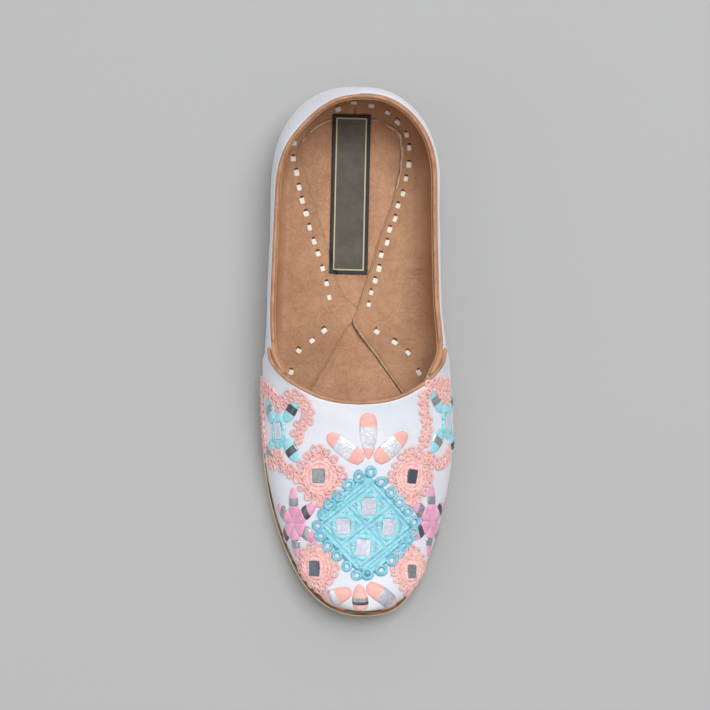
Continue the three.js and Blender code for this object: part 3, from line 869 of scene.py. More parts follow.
def lining_points(side, edge, lifted, inside):
    """One face of a lining: down the wall, round the cove and over the footbed to the flap's edge."""
    first = float(turn_of_share(edge["along"][0]))
    turns = np.linspace(first, math.pi, LINING_COLUMNS + 1)[:, None]
    along = share_of_turn(turns)
    start = INSOLE + CLEAR + COVE
    top = collar_rise(along) - 0.2
    share = np.linspace(0, 1, LINING_WALL_ROWS + 1)[None, :-1]
    rise = top + (start - top) * share
    thick = inside * (LINING_WALL + (FLAP - LINING_WALL) * share**3)
    sag = 0.22 * leather_noise(along * LAST_LENGTH, rise, 23, 51) * ease(0, 0.25, share)
    wall = point_by_rise(turns, side, rise, -WALL - CLEAR / 2 - thick + sag * (1 - share))
    angle = np.linspace(0, math.pi / 2, LINING_COVE_ROWS + 1)[None, :]
    radius = COVE - inside * FLAP
    inward = COVE - radius * np.cos(angle)
    height = COVE - radius * np.sin(angle)
    offset = -WALL - CLEAR / 2 - inward
    cove = point_by_rise(turns, side, INSOLE + CLEAR + height + 0 * turns, offset + 0 * turns)
    edge_x, edge_y = flap_edge(edge, side, along[:, 0], inside * raw_pull(side, along[:, 0]))
    flat = np.linspace(0, 1, LINING_FLAT_ROWS + 1)[None, 1:]
    foot = cove[:, -1:, :]
    x = foot[..., 0] * (1 - flat) + edge_x[:, None] * flat
    y = foot[..., 1] * (1 - flat) + edge_y[:, None] * flat
    settle = ease(0.0, 0.2, flat)
    round_edge = inside * 0.35 * ease(0.93, 1.0, flat)
    lift = flap_lift(x, y, lifted) * settle
    z = footbed_top(y) + CLEAR + inside * FLAP + lift - round_edge
    floor = np.stack([x, y, z], axis=-1)
    return np.concatenate([wall, cove, floor], axis=1).reshape(-1, 3)


LINING_ROWS = LINING_WALL_ROWS + LINING_COVE_ROWS + LINING_FLAT_ROWS
linings = []
for side, edge, lifted, name, node in (
    (-1, LEFT_EDGE, 0.0, "lining_left", "left_flap"),
    (1, RIGHT_EDGE, 1.0, "lining_right", "right_flap"),
):
    face = lining_points(side, edge, lifted, 1.0)
    back = lining_points(side, edge, lifted, 0.0)
    faces, slots = wall_faces(LINING_COLUMNS, LINING_ROWS, flip=side < 0)
    piece = make_piece(name, np.concatenate([face, back]), faces,
                       [flap_leather, raw_leather] * 2, slots)
    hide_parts(node)
    linings.append(piece)

# Bindings
# Thin tan leather strips, folded over and sewn along the vamp's throat from ear to ear and along the
# quarter's collar. The stitches pull them in a little at every step.
BEAD = 1.8
BEAD_SIDES = 14
STITCH_PITCH = 2.6
COLLAR_FRONT_AT = 0.502
binding_leather = leather("binding_leather", (0.50, 0.27, 0.16), (0.36, 0.175, 0.10), 0.45, 0.04, 120.0)


def bound_edge(name, path, out, wide, high, node):
    """A folded strip swept along a path, with an oval section that is wide along its out direction."""
    path = np.asarray(path)
    run = np.gradient(path, axis=0)
    run /= np.linalg.norm(run, axis=1, keepdims=True)
    out = out - run * np.sum(out * run, axis=1, keepdims=True)
    out /= np.linalg.norm(out, axis=1, keepdims=True)
    up = np.cross(run, out)
    angles = np.linspace(0, 2 * math.pi, BEAD_SIDES, endpoint=False)
    length = np.concatenate([[0], np.cumsum(np.linalg.norm(np.diff(path, axis=0), axis=1))])
    pull = 1 + 0.05 * np.sin(length * 2 * math.pi / STITCH_PITCH)
    pull = pull + 0.04 * leather_noise(length, 0 * length, 14, 61)
    ends = np.minimum(ease(-0.6, 0.9, length), ease(-0.6, 0.9, length[-1] - length))
    ring = out[:, None, :] * (np.cos(angles) * wide / 2)[None, :, None]
    ring = ring + up[:, None, :] * (np.sin(angles) * high / 2)[None, :, None]
    points = path[:, None, :] + ring * (pull * ends)[:, None, None]
    points = np.concatenate([points.reshape(-1, 3), path[:1], path[-1:]])
    faces = [face[::-1] for face in tube_faces(len(path), BEAD_SIDES)]
    last = (len(path) - 1) * BEAD_SIDES
    for k in range(BEAD_SIDES):
        after = (k + 1) % BEAD_SIDES
        faces.append((len(points) - 2, k, after)[::-1])
        faces.append((len(points) - 1, last + after, last + k)[::-1])
    piece = make_piece(name, points, faces, [binding_leather])
    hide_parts(node)


collar_place = np.linspace(-1, 1, 420)
collar_front = float(turn_of_share(COLLAR_FRONT_AT))
collar_turns = math.pi - (math.pi - collar_front) * np.abs(collar_place)
collar_side = np.where(collar_place < 0, 1.0, -1.0)
collar_tops = collar_rise(share_of_turn(collar_turns))
collar_path = point_by_rise(collar_turns, collar_side, collar_tops, -WALL / 2 - 0.1)
collar_out = point_by_rise(collar_turns, collar_side, collar_tops, 0.0)
collar_out = collar_out - point_by_rise(collar_turns, collar_side, collar_tops, -1.0)
collar_path[:, 2] += BEAD / 2 + 0.1
bound_edge("collar_binding", collar_path, collar_out, 1.7, BEAD, "collar_bead")

throat_place = np.linspace(-1, 1, 260)


def throat_edge(place, offset):
    girth = EAR_GIRTH * np.abs(place)
    return point_by_girth(throat_turn(girth), np.where(place < 0, -1.0, 1.0), girth, offset)


throat_step = ease(0.42, 0.66, np.abs(throat_place))
throat_offset = (BEAD / 2 + CLEAR) * throat_step + (VAMP_STEP - WALL / 2 + 0.2) * (1 - throat_step)
throat_out = throat_edge(throat_place, 1.0) - throat_edge(throat_place, 0.0)
throat_on = throat_edge(throat_place, throat_offset)
throat_away = np.cross(throat_out, np.gradient(throat_on, axis=0))
throat_away /= np.linalg.norm(throat_away, axis=1, keepdims=True)
throat_path = throat_on + throat_away * (BEAD / 2 + 0.05)
bound_edge("throat_binding", throat_path, throat_away, BEAD, 1.9, "throat_bead")

# Label
# A plain dark woven patch, stuck on at the heel of the footbed, with a thin gold line woven inside its
# edge and nothing on it. It lies over the flaps' edges and follows their steps.
LABEL_WIDTH = 18.4
LABEL_LENGTH = 77.5
LABEL_THICK = 0.6
LABEL_ALONG = 0.8047
LABEL_ACROSS = -0.053
LABEL_TURN = math.radians(-1.23)
LABEL_FRAME = 2.1
LABEL_LINE = 0.55
LABEL_STEP = FLAP + 0.35
LABEL_OFF_FLAP = (62, 70)
LABEL_ON_HEEL = (110.0, 112.5)
LABEL_CELLS = (46, 190)
LABEL_PANEL = (0.066, 0.060, 0.043)
LABEL_RUBBED = (0.100, 0.093, 0.070)
LABEL_BORDER = (0.012, 0.011, 0.010)
LABEL_GOLD = (0.62, 0.56, 0.36)


def label_cloth():
    """Black border, gold line and dull olive panel, by distance from the patch's edge."""
    material, tree, shader = new_material("label_cloth")
    place = cloth_place(tree)
    parts = add_node(tree, "ShaderNodeSeparateXYZ", None, Vector=place)
    distances = []
    for axis, half in (("X", LABEL_WIDTH / 2), ("Y", LABEL_LENGTH / 2)):
        reach = calculate(tree, "ABSOLUTE", parts.outputs[axis])
        distances.append(calculate(tree, "SUBTRACT", half * MM, reach))
    near = calculate(tree, "MINIMUM", *distances)
    from_line = calculate(tree, "SUBTRACT", near, LABEL_FRAME * MM)
    beside = calculate(tree, "ABSOLUTE", from_line)
    on_line = remap(tree, beside, LABEL_LINE * 0.35 * MM, LABEL_LINE * 0.65 * MM, 1.0, 0.0)
    inside = remap(tree, from_line, 0.0, 0.5 * MM)
    rub = noise(tree, object_place(tree), 130.0, 5.0, Roughness=0.65)
    panel = mix_colours(tree, remap(tree, rub, 0.35, 0.65), LABEL_PANEL, LABEL_RUBBED)
    field = mix_colours(tree, inside, LABEL_BORDER, panel)
    weave = add_node(tree, "ShaderNodeTexChecker", None, Vector=place, Scale=2600.0)
    tint = mix_colours(tree, on_line, field, LABEL_GOLD)
    dress(tree, shader, tint, weave.outputs["Fac"], 0.3, 0.04)
    set_inputs(shader, Roughness=0.62)
    return material


def label_points(lift):
    u = np.linspace(-0.5, 0.5, LABEL_CELLS[0] + 1)[:, None] * LABEL_WIDTH
    v = np.linspace(-0.5, 0.5, LABEL_CELLS[1] + 1)[None, :] * LABEL_LENGTH
    x = LABEL_ACROSS * BALL_HALF + u * math.cos(LABEL_TURN) - v * math.sin(LABEL_TURN)
    y = station_y(LABEL_ALONG) + u * math.sin(LABEL_TURN) + v * math.cos(LABEL_TURN)
    along = np.linspace(LEFT_EDGE["along"][0], 1.0, 500)
    edge_x, edge_y = flap_edge(LEFT_EDGE, -1, along)
    order = np.argsort(edge_y)
    on_flap = ease(2.0, -1.2, x - np.interp(y, edge_y[order], edge_x[order]))
    over = LABEL_STEP * on_flap * (1 - ease(*LABEL_OFF_FLAP, y))
    heel = LABEL_STEP * ease(*LABEL_ON_HEEL, y)
    wave = 0.10 * leather_noise(x, y, 24, 71) * ease(0.5, 0.35, np.abs(v) / LABEL_LENGTH)
    z = footbed_top(y) + 0.22 + np.maximum(over, heel) + wave + lift
    grid = np.stack(np.broadcast_arrays(u, v), axis=-1)
    return np.stack([x, y, z], axis=-1).reshape(-1, 3), grid.reshape(-1, 2)


label_top, label_uv = label_points(LABEL_THICK)
label_back, _ = label_points(0.0)
label_faces, _ = wall_faces(*LABEL_CELLS)
label_piece = make_piece("label_patch_cloth", np.concatenate([label_top, label_back]), label_faces,
                         [label_cloth()], None, np.concatenate([label_uv, label_uv]))
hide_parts("label_patch")

# Stitches
# White cotton, sewn through the lining and the footbed in small square knots, each with a dark pad at
# its heel side that is painted shade for its needle hole. The thread pulls a shallow channel into the
# soft leather.
PIXEL = VIEW_WIDTH / IMAGE_SIZE
KNOT_LENGTH = 2.7
KNOT_WIDTH = 2.3
KNOT_HEIGHT = 1.2
HOLE_REACH = 1.35
HOLE_LENGTH = 2.0
HOLE_WIDTH = 1.7
HOLE_RIM = 0.35
REPEAT_SMALLEST = (0.84, 0.84, 0.85)
REPEAT_LARGEST = (1.16, 1.16, 1.2)
REPEAT_SEED = 7
cotton = leather("white_cotton", (0.95, 0.92, 0.85), (0.84, 0.81, 0.72), 0.8, 0.12, 300.0)
# Painted shade: a dark, low pad stands for the shade inside each needle hole.
hole_painted_shade = leather("needle_hole", (0.10, 0.045, 0.025), (0.05, 0.02, 0.012), 0.9, 0.02)


def open_socket(sockets, name):
    return next(socket for socket in sockets if socket.enabled and socket.name == name)


def repeat_tree(name, sizes, shape):
    """Geometry nodes: one shape on every point, turned to its facing and heading, and made uneven."""
    tree = bpy.data.node_groups.new(name, "GeometryNodeTree")
    tree.interface.new_socket("Geometry", in_out="INPUT", socket_type="NodeSocketGeometry")
    for label in (*sizes, "Lump Height"):
        tree.interface.new_socket(label, in_out="INPUT", socket_type="NodeSocketFloat")
    tree.interface.new_socket("Thread", in_out="INPUT", socket_type="NodeSocketMaterial")
    tree.interface.new_socket("Geometry", in_out="OUTPUT", socket_type="NodeSocketGeometry")
    given = tree.nodes.new("NodeGroupInput")
    result = tree.nodes.new("NodeGroupOutput")
    axes = []
    for label in ("facing", "heading"):
        read = add_node(tree, "GeometryNodeInputNamedAttribute", {"data_type": "FLOAT_VECTOR"},
                        Name=label)
        axes.append(open_socket(read.outputs, "Attribute"))
    turned = add_node(tree, "FunctionNodeAxesToRotation",
                      {"primary_axis": "Z", "secondary_axis": "X"}, i0=axes[0], i1=axes[1])
    spread = add_node(tree, "FunctionNodeRandomValue", {"data_type": "FLOAT_VECTOR"})
    open_socket(spread.inputs, "Min").default_value = REPEAT_SMALLEST
    open_socket(spread.inputs, "Max").default_value = REPEAT_LARGEST
    spread.inputs["Seed"].default_value = REPEAT_SEED
    placed = add_node(tree, "GeometryNodeInstanceOnPoints", None, Points=given.outputs["Geometry"],
                      Instance=shape(tree, given), Rotation=turned.outputs["Rotation"],
                      Scale=open_socket(spread.outputs, "Value"))
    whole = add_node(tree, "GeometryNodeRealizeInstances", None, Geometry=placed.outputs["Instances"])
    place = tree.nodes.new("GeometryNodeInputPosition")
    lumps = add_node(tree, "ShaderNodeTexNoise", None, Vector=place.outputs[0], Scale=750.0,
                     Detail=2.0)
    centred = add_node(tree, "ShaderNodeVectorMath", {"operation": "SUBTRACT"},
                       i0=lumps.outputs["Color"], i1=(0.5, 0.5, 0.5))
    push = add_node(tree, "ShaderNodeVectorMath", {"operation": "SCALE"}, i0=centred.outputs[0],
                    Scale=given.outputs["Lump Height"])
    moved = add_node(tree, "GeometryNodeSetPosition", None, Geometry=whole.outputs[0],
                     Offset=push.outputs[0])
    dressed = add_node(tree, "GeometryNodeSetMaterial", None, Geometry=moved.outputs["Geometry"],
                       Material=given.outputs["Thread"])
    tree.links.new(dressed.outputs["Geometry"], result.inputs["Geometry"])
    return tree


def repeat_on_points(name, tree, places, facings, headings, values):
    """Runs a repeat tree on points, keeps the result as a plain mesh and lets it ride the shoe."""
    mesh = bpy.data.meshes.new(name + "_places")
    mesh.from_pydata((np.asarray(places) * MM).tolist(), [], [])
    for label, vectors in (("facing", facings), ("heading", headings)):
        layer = mesh.attributes.new(label, "FLOAT_VECTOR", "POINT")
        layer.data.foreach_set("vector", np.asarray(vectors, dtype=np.float32).ravel())
    holder = bpy.data.objects.new(name + "_places", mesh)
    bpy.context.scene.collection.objects.link(holder)
    modifier = holder.modifiers.new("repeat", "NODES")
    modifier.node_group = tree
    for item in tree.interface.items_tree:
        if item.in_out == "INPUT" and item.name in values:
            modifier[item.identifier] = values[item.name]
    graph = bpy.context.evaluated_depsgraph_get()
    finished = bpy.data.meshes.new_from_object(holder.evaluated_get(graph))
    holder.modifiers.clear()
    bpy.data.objects.remove(holder)
    finished.name = name
    finished.shade_smooth()
    piece = bpy.data.objects.new(name, finished)
    bpy.context.scene.collection.objects.link(piece)
    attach(piece, "root")
    return piece


def knot_shape(tree, given):
    """A block with soft edges, drawn from a cube."""
    size = add_node(tree, "ShaderNodeCombineXYZ", None, X=given.outputs["Length"],
                    Y=given.outputs["Width"], Z=given.outputs["Height"])
    block = add_node(tree, "GeometryNodeMeshCube", None, Size=size.outputs[0])
    soft = add_node(tree, "GeometryNodeSubdivisionSurface", None, Mesh=block.outputs["Mesh"], Level=2)
    open_socket(soft.inputs, "Edge Crease").default_value = 0.55
    return soft.outputs["Mesh"]


def seen_at(photo_x, photo_y):
    """Place and facing of what the camera sees of the inside at a pixel of the photograph."""
    right = (photo_x - IMAGE_SIZE / 2) * PIXEL
    up = (IMAGE_SIZE / 2 - photo_y) * PIXEL
    aim = Vector(view_right * right + view_up * up - view_out * VIEW_DISTANCE).normalized()
    hits = [form.ray_cast(Vector(view_place * MM), aim) for form in inside_forms]
    place, facing, _, _ = min((hit for hit in hits if hit[0] is not None), key=lambda hit: hit[3])
    return np.array(place) / MM, np.array(facing)


scene_graph = bpy.context.evaluated_depsgraph_get()
inside_forms = [BVHTree.FromObject(piece, scene_graph) for piece in (*linings, insole_piece)]
knot_places = []
knot_facings = []
knot_headings = []
for row in STITCH_ROWS:
    seen = [seen_at(x, y) for x, y in zip(row["photo_x"], row["photo_y"])]
    places = np.array([place for place, _ in seen])
    knot_places.append(places)
    knot_facings.append(np.array([facing for _, facing in seen]))
    knot_headings.append(np.gradient(places, axis=0))
knot_places = np.concatenate(knot_places)
knot_facings = np.concatenate(knot_facings)
knot_headings = np.concatenate(knot_headings)
KNOTS = repeat_tree("knots", ("Length", "Width", "Height"), knot_shape)
knot_sizes = {"Length": KNOT_LENGTH * MM, "Width": KNOT_WIDTH * MM, "Height": KNOT_HEIGHT * MM,
              "Lump Height": 0.3 * MM, "Thread": cotton}
hole_sizes = {"Length": HOLE_LENGTH * MM, "Width": HOLE_WIDTH * MM, "Height": HOLE_RIM * MM,
              "Lump Height": 0.2 * MM, "Thread": hole_painted_shade}
repeat_on_points("stitches", KNOTS, knot_places + 0.15 * knot_facings, knot_facings, knot_headings,
                 knot_sizes)
hole_places = knot_places + np.array([0.0, HOLE_REACH, 0.0])
above = np.sum((hole_places - knot_places) * knot_facings, axis=1)
hole_places = hole_places - knot_facings * above[:, None]
repeat_on_points("needle_holes", KNOTS, hole_places, knot_facings, knot_headings, hole_sizes)

# Petals
# Glossy thread laid side by side across each petal over a little padding, with strips of silver foil
# couched between the thread ends, their bright, dull and dark tones painted reflections. They are sewn
# to the satin in lotuses and in two kinds of flower.
CHART_STATIONS = 200
CHART_COLUMNS = 300
CHART_SPAN = 80.0
CHART_FROM = 0.003
CHART_TO = 0.5
PETAL_ROWS = 26
PETAL_COLUMNS = 10
SUNK = 0.15
THREAD_PITCH = 0.42


def chart_girths():
    """Girth at even steps of arc length across the vamp, one row for each station."""
    along = np.linspace(CHART_FROM, CHART_TO, CHART_STATIONS)[:, None]
    girth = np.linspace(0, 1, 240)[None, :]
    points = point_by_girth(turn_of_share(along), 1.0, girth + 0 * along, VAMP_STEP)
    arc = np.cumsum(np.linalg.norm(np.diff(points, axis=1), axis=-1), axis=1)
    reach = np.linspace(0, CHART_SPAN, CHART_COLUMNS)
    return np.array([np.interp(reach, np.concatenate([[0.0], row]), girth[0]) for row in arc])


CHART = chart_girths()


def cloth(across, along_y, lift):
    """Points on the vamp by arc length across from its middle line and by place along the shoe."""
    along = np.clip(station_of(along_y), CHART_FROM, CHART_TO)
    row = (along - CHART_FROM) / (CHART_TO - CHART_FROM) * (CHART_STATIONS - 1.001)
    column = np.clip(np.abs(across) / CHART_SPAN, 0, 1) * (CHART_COLUMNS - 1.001)
    i = row.astype(int)
    j = column.astype(int)
    low = CHART[i, j] * (1 - column + j) + CHART[i, j + 1] * (column - j)
    high = CHART[i + 1, j] * (1 - column + j) + CHART[i + 1, j + 1] * (column - j)
    side = np.where(across < 0, -1.0, 1.0)
    return vamp_point(turn_of_share(along), side, low * (1 - row + i) + high * (row - i), lift)


def on_cloth(photo_x, photo_y):
    """Place on the cloth that the camera sees at a pixel of the photograph."""
    target_x = (np.asarray(photo_x, dtype=float) - IMAGE_SIZE / 2) * PIXEL
    target_y = (IMAGE_SIZE / 2 - np.asarray(photo_y, dtype=float)) * PIXEL
    across = target_x
    along_y = VIEW_MIDDLE[1] + target_y
    for _ in range(40):
        sight = cloth(across, along_y, 0.0) - view_place
        scale = VIEW_DISTANCE / -(sight @ view_out)
        across = across + target_x - (sight @ view_right) * scale
        along_y = along_y + target_y - (sight @ view_up) * scale
    return across, along_y


def places_of(row):
    """Place or places on the cloth of a table's row."""
    return on_cloth(row["photo_x"], row["photo_y"])


def thread_group():
    """Laid thread: fine lines along the piece's own cloth map, broken by soft slubs, and a tone that
    carries painted shade between the strands.
    """
    group, given, result = new_group("laid_thread", dict(Pitch=0.314 / (THREAD_PITCH * MM)),
                                     ("Line", "Tone"))
    place = object_place(group)
    line = add_node(group, "ShaderNodeTexWave", {"bands_direction": "Y"}, Vector=cloth_place(group),
                    Scale=given.outputs["Pitch"], Distortion=0.8, Detail=1.0)
    slub = noise(group, place, 520.0, 3.0)
    mixed = calculate(group, "MULTIPLY_ADD", line.outputs["Fac"], 0.55, slub)
    # The tone mixes random tone from noise with painted shade in the lines between strands.
    tone = calculate(group, "MULTIPLY_ADD", noise(group, place, 130.0, 2.0), 0.6, mixed)
    group.links.new(mixed, result.inputs["Line"])
    group.links.new(tone, result.inputs["Tone"])
    return group


LAID_THREAD = thread_group()


def thread(name, light, dark):
    """Glossy embroidery thread of one colour, with painted shade between its strands and painted
    highlight specks along them.
    """
    material, tree, shader = new_material(name)
    laid = add_node(tree, "ShaderNodeGroup", {"node_tree": LAID_THREAD})
    # Dark to light by the tone: painted shade between the strands and painted highlight specks on them,
    # over random tone.
    tint = mix_colours(tree, remap(tree, laid.outputs["Tone"], 0.68, 1.18), dark, light)
    dress(tree, shader, tint, laid.outputs["Line"], 0.55, 0.16)
    set_inputs(shader, Roughness=0.32, Sheen_Weight=0.2, Specular_IOR_Level=0.45)
    return material


def foil(name, tint, roughness, crease, metallic=0.85):
    """Flat silvered plastic: a mirror, or foil that was crinkled as it was sewn down, its colour
    darkened along the crinkles as painted shade.
    """
    material, tree, shader = new_material(name)
    bend = noise(tree, object_place(tree), 420.0, 4.0, Distortion=1.5)
    # Darker along the crinkles: painted shade.
    soil_and_crease_shade = mix_colours(tree, 1.0, tint, remap(tree, bend, 0.35, 0.65, 0.72, 1.0), "MULTIPLY")
    dress(tree, shader, soil_and_crease_shade, bend, 0.5, crease)
    set_inputs(shader, Metallic=metallic, Roughness=roughness)
    return material


aqua_thread = thread("aqua_thread", (0.40, 0.77, 0.85), (0.15, 0.48, 0.61))
peach_thread = thread("peach_thread", (0.98, 0.64, 0.60), (0.80, 0.42, 0.40))
pink_thread = thread("pink_thread", (0.85, 0.44, 0.61), (0.62, 0.22, 0.41))
# A darker copy of the aqua thread: painted shade for the ground between the medallion's cords.
aqua_shadow = thread("aqua_shadow", (0.30, 0.66, 0.76), (0.13, 0.42, 0.54))
coral_thread = thread("coral_thread", (0.94, 0.50, 0.44), (0.80, 0.38, 0.34))
# One silver foil in three tones, bright, dull and dark: painted reflections of what each strip faces.
foil_painted_bright_reflection = foil("foil_painted_bright_reflection", (0.93, 0.96, 1.0), 0.28, 0.7, 0.35)
foil_painted_dull_reflection = foil("foil_painted_dull_reflection", (0.52, 0.54, 0.55), 0.3, 0.25)
foil_painted_dark_reflection = foil("foil_painted_dark_reflection", (0.17, 0.19, 0.21), 0.22, 0.2)
lilac_foil = foil("lilac_foil", (0.66, 0.66, 0.76), 0.35, 0.3, 0.5)
FINISHES = [aqua_thread, peach_thread, pink_thread, foil_painted_bright_reflection, foil_painted_dull_reflection, foil_painted_dark_reflection, lilac_foil,
            aqua_shadow, coral_thread]
AQUA, PEACH, PINK, BRIGHT, DULL, DARK, LILAC, SHADOW, CORAL = range(9)


class Needlework:
    """Collects the closed forms of one piece of embroidery."""

    def __init__(self):
        self.points = []
        self.faces = []
        self.slots = []
        self.maps = []
        self.count = 0

    def add(self, points, faces, slots, cloth_uv):
        points = np.asarray(points).reshape(-1, 3)
        self.points.append(points)
        self.faces += [tuple(index + self.count for index in face) for face in faces]
        self.slots += list(slots)
        self.maps.append(np.asarray(cloth_uv).reshape(-1, 2))
        self.count += len(points)

    def piece(self, name, slot, materials):
        made = make_piece(name, np.concatenate(self.points), self.faces, materials, self.slots,
                          np.concatenate(self.maps), closed=True)
        return made


def petal(work, middle, heading, length, width, bands, height=0.9, base=0.55, tip=0.55, narrow=1.0):
    """A padded petal in bands of (share of the length where it ends, finish).

    The base and tip powers shape its ends: the lower, the blunter.
    """
    t = np.linspace(0, 1, PETAL_ROWS + 1)[:, None]
    s = np.linspace(-1, 1, PETAL_COLUMNS + 1)[None, :]
    top = (base / (base + tip)) ** base * (tip / (base + tip)) ** tip
    profile = np.maximum(t, 1e-4) ** base * np.maximum(1 - t, 1e-4) ** tip / top
    run = (t - 0.5) * length + 0 * s
    over = s * profile * width / 2
    angle = math.radians(heading)
    across = middle[0] + narrow * (run * math.cos(angle) - over * math.sin(angle))
    along_y = middle[1] + run * math.sin(angle) + over * math.cos(angle)
    lift = height * (1 - np.abs(s) ** 2.6) ** 0.7 * profile**0.5
    points = np.concatenate([cloth(across, along_y, lift).reshape(-1, 3),
                             cloth(across, along_y, 0 * lift - SUNK).reshape(-1, 3)])
    faces, _ = wall_faces(PETAL_ROWS, PETAL_COLUMNS)
    ends = np.array([band[0] for band in bands])
    stride = PETAL_COLUMNS + 1
    size = (PETAL_ROWS + 1) * stride
    slots = []
    for face in faces:
        share = (min(index % size // stride for index in face) + 0.5) / PETAL_ROWS
        slots.append(bands[min(int(np.searchsorted(ends, share)), len(bands) - 1)][1])
    grid = np.stack([over, run], axis=-1).reshape(-1, 2)
    work.add(points, faces, slots, np.concatenate([grid, grid]))


LOTUS_PETALS = [
    dict(photo_x=368.5, photo_y=436, heading=90, length=21.2, width=8.4, base=0.6, tip=0.3,
         bands=[(0.24, CORAL), (0.68, BRIGHT), (1.0, CORAL)]),
    dict(photo_x=345, photo_y=448, heading=144, length=20.5, width=8.4, base=0.3, tip=0.38,
         bands=[(0.3, CORAL), (0.72, BRIGHT), (1.0, CORAL)]),
    dict(photo_x=391.5, photo_y=447, heading=41, length=20.0, width=8.4, base=0.3, tip=0.4,
         bands=[(0.32, CORAL), (0.68, BRIGHT), (1.0, CORAL)]),
    dict(photo_x=332, photo_y=598.5, heading=199, length=21.5, width=7.8, base=0.35, tip=0.3,
         bands=[(0.34, CORAL), (0.46, BRIGHT), (0.55, LILAC), (1.0, CORAL)]),
    dict(photo_x=360, photo_y=597, heading=-90, length=11.5, width=7.6, base=0.55, tip=0.25,
         bands=[(0.5, CORAL), (0.66, DULL), (0.78, DARK), (1.0, CORAL)]),
    dict(photo_x=385.5, photo_y=597.5, heading=-33, length=20.5, width=7.8, base=0.3, tip=0.4,
         bands=[(0.36, CORAL), (0.68, LILAC), (1.0, CORAL)]),
]
lotuses = Needlework()
for row in LOTUS_PETALS:
    sizes = {key: row[key] for key in ("heading", "length", "width", "bands", "base", "tip")}
    petal(lotuses, places_of(row), **sizes)
lotuses.piece("lotus_petals", "thread_peach", FINISHES)

# A crossed flower has four banded petals and two caps round a mirror, and sits high on each side.
CROSSED_FLOWERS = [
    dict(photo_x=279, photo_y=431, outer=DULL, inner=DARK, toward=1),
    dict(photo_x=446.5, photo_y=421.5, outer=DARK, inner=DULL, toward=-1),
]
CROSS_OUT = 7.8
CROSS_UP = 9.4
CAP_UP = 6.2
CROSS_PETAL = dict(length=13.4, width=6.8, base=0.45, tip=0.6)
CROSS_CAP = dict(length=4.0, width=7.0, base=0.15, tip=0.45)
crossed = Needlework()
for row in CROSSED_FLOWERS:
    middle = places_of(row)
    for right in (-1, 1):
        for up in (-1, 1):
            # Foil bands facing the vamp's middle are dark and the outer ones dull: painted reflections.
            band = row["inner"] if right == row["toward"] else row["outer"]
            place = (middle[0] + right * CROSS_OUT, middle[1] + up * CROSS_UP)
            heading = math.degrees(math.atan2(up * CROSS_UP, right * CROSS_OUT * 0.85))
            petal(crossed, place, heading, bands=[(0.4, AQUA), (0.64, band), (1.0, AQUA)],
                  **CROSS_PETAL)
    for up in (-1, 1):
        petal(crossed, (middle[0], middle[1] + up * CAP_UP), 90 * up, bands=[(1.0, AQUA)], **CROSS_CAP)
crossed.piece("crossed_flowers", "thread_aqua", FINISHES)

# A pink flower has six wedges that meet at its middle, and a foil band and a tip beyond each of them.
PINK_FLOWERS = [
    dict(photo_x=294.5, photo_y=523),
    dict(photo_x=431, photo_y=521),
]
WEDGE_REACH = 4.0
TIP_REACH = 12.2
PINK_NARROW = 0.8
PINK_WEDGE = dict(length=8.0, width=7.0, height=1.1, base=0.85, tip=0.18, narrow=PINK_NARROW)
PINK_TIP = dict(length=8.8, width=6.6, base=0.08, tip=0.42, narrow=PINK_NARROW)
pinks = Needlework()
for row in PINK_FLOWERS:
    middle = places_of(row)
    for k in range(6):
        heading = 90 + 60 * k
        right = PINK_NARROW * math.cos(math.radians(heading))
        up = math.sin(math.radians(heading))
        wedge = (middle[0] + WEDGE_REACH * right, middle[1] + WEDGE_REACH * up)
        petal(pinks, wedge, heading, bands=[(1.0, PINK)], **PINK_WEDGE)
        outer = (middle[0] + TIP_REACH * right, middle[1] + TIP_REACH * up)
        # Two opposite foil bands are dark and the rest dull: painted reflections.
        bands = [(0.42, DARK if k % 3 == 2 else DULL), (1.0, PINK)]
        petal(pinks, outer, heading, bands=bands, **PINK_TIP)
pinks.piece("pink_flowers", "thread_pink", FINISHES)

# Mirrors
# Small square mirrors of silvered plastic, each held by a raised ring of thread worked over its edge.
# Their plates are bright, grey or dark: painted reflections of what each mirror faces.
# Four stand in the aqua medallion, one in each peach medallion and one in each crossed flower.
FRAME_STEPS = 132
FRAME_SIDES = 8
ROPE_STRANDS = 30
ROPE_DEPTH = 0.13
CROSS_FRAME = dict(half_x=3.3, half_y=4.8, width=2.2, height=1.1)
CROSS_MIRROR = dict(half_x=2.3, half_y=3.9, lift=1.0)
# Three tones of one mirror plate: painted reflections.
mirror_painted_bright_reflection = foil("mirror_painted_bright_reflection", (0.84, 0.88, 0.99), 0.2, 0.04, 0.4)
mirror_painted_grey_reflection = foil("mirror_painted_grey_reflection", (0.43, 0.475, 0.51), 0.16, 0.04)
mirror_painted_dark_reflection = foil("mirror_painted_dark_reflection", (0.16, 0.19, 0.24), 0.12, 0.06)
GLASS_PAINTED_BRIGHT, GLASS_PAINTED_GREY, GLASS_PAINTED_DARK = range(3)


def turned_on(middle, x, y, turn):
    """Places on the cloth round a middle, turned by an angle in degrees."""
    angle = math.radians(turn)
    across = middle[0] + x * math.cos(angle) - y * math.sin(angle)
    return across, middle[1] + x * math.sin(angle) + y * math.cos(angle)


def rounded(around, half_x, half_y, square):
    """A closed outline: 1 is a diamond, 2 an oval, and higher powers come near a square."""
    x = np.sign(np.cos(around)) * np.abs(np.cos(around)) ** (2 / square) * half_x
    return x, np.sign(np.sin(around)) * np.abs(np.sin(around)) ** (2 / square) * half_y


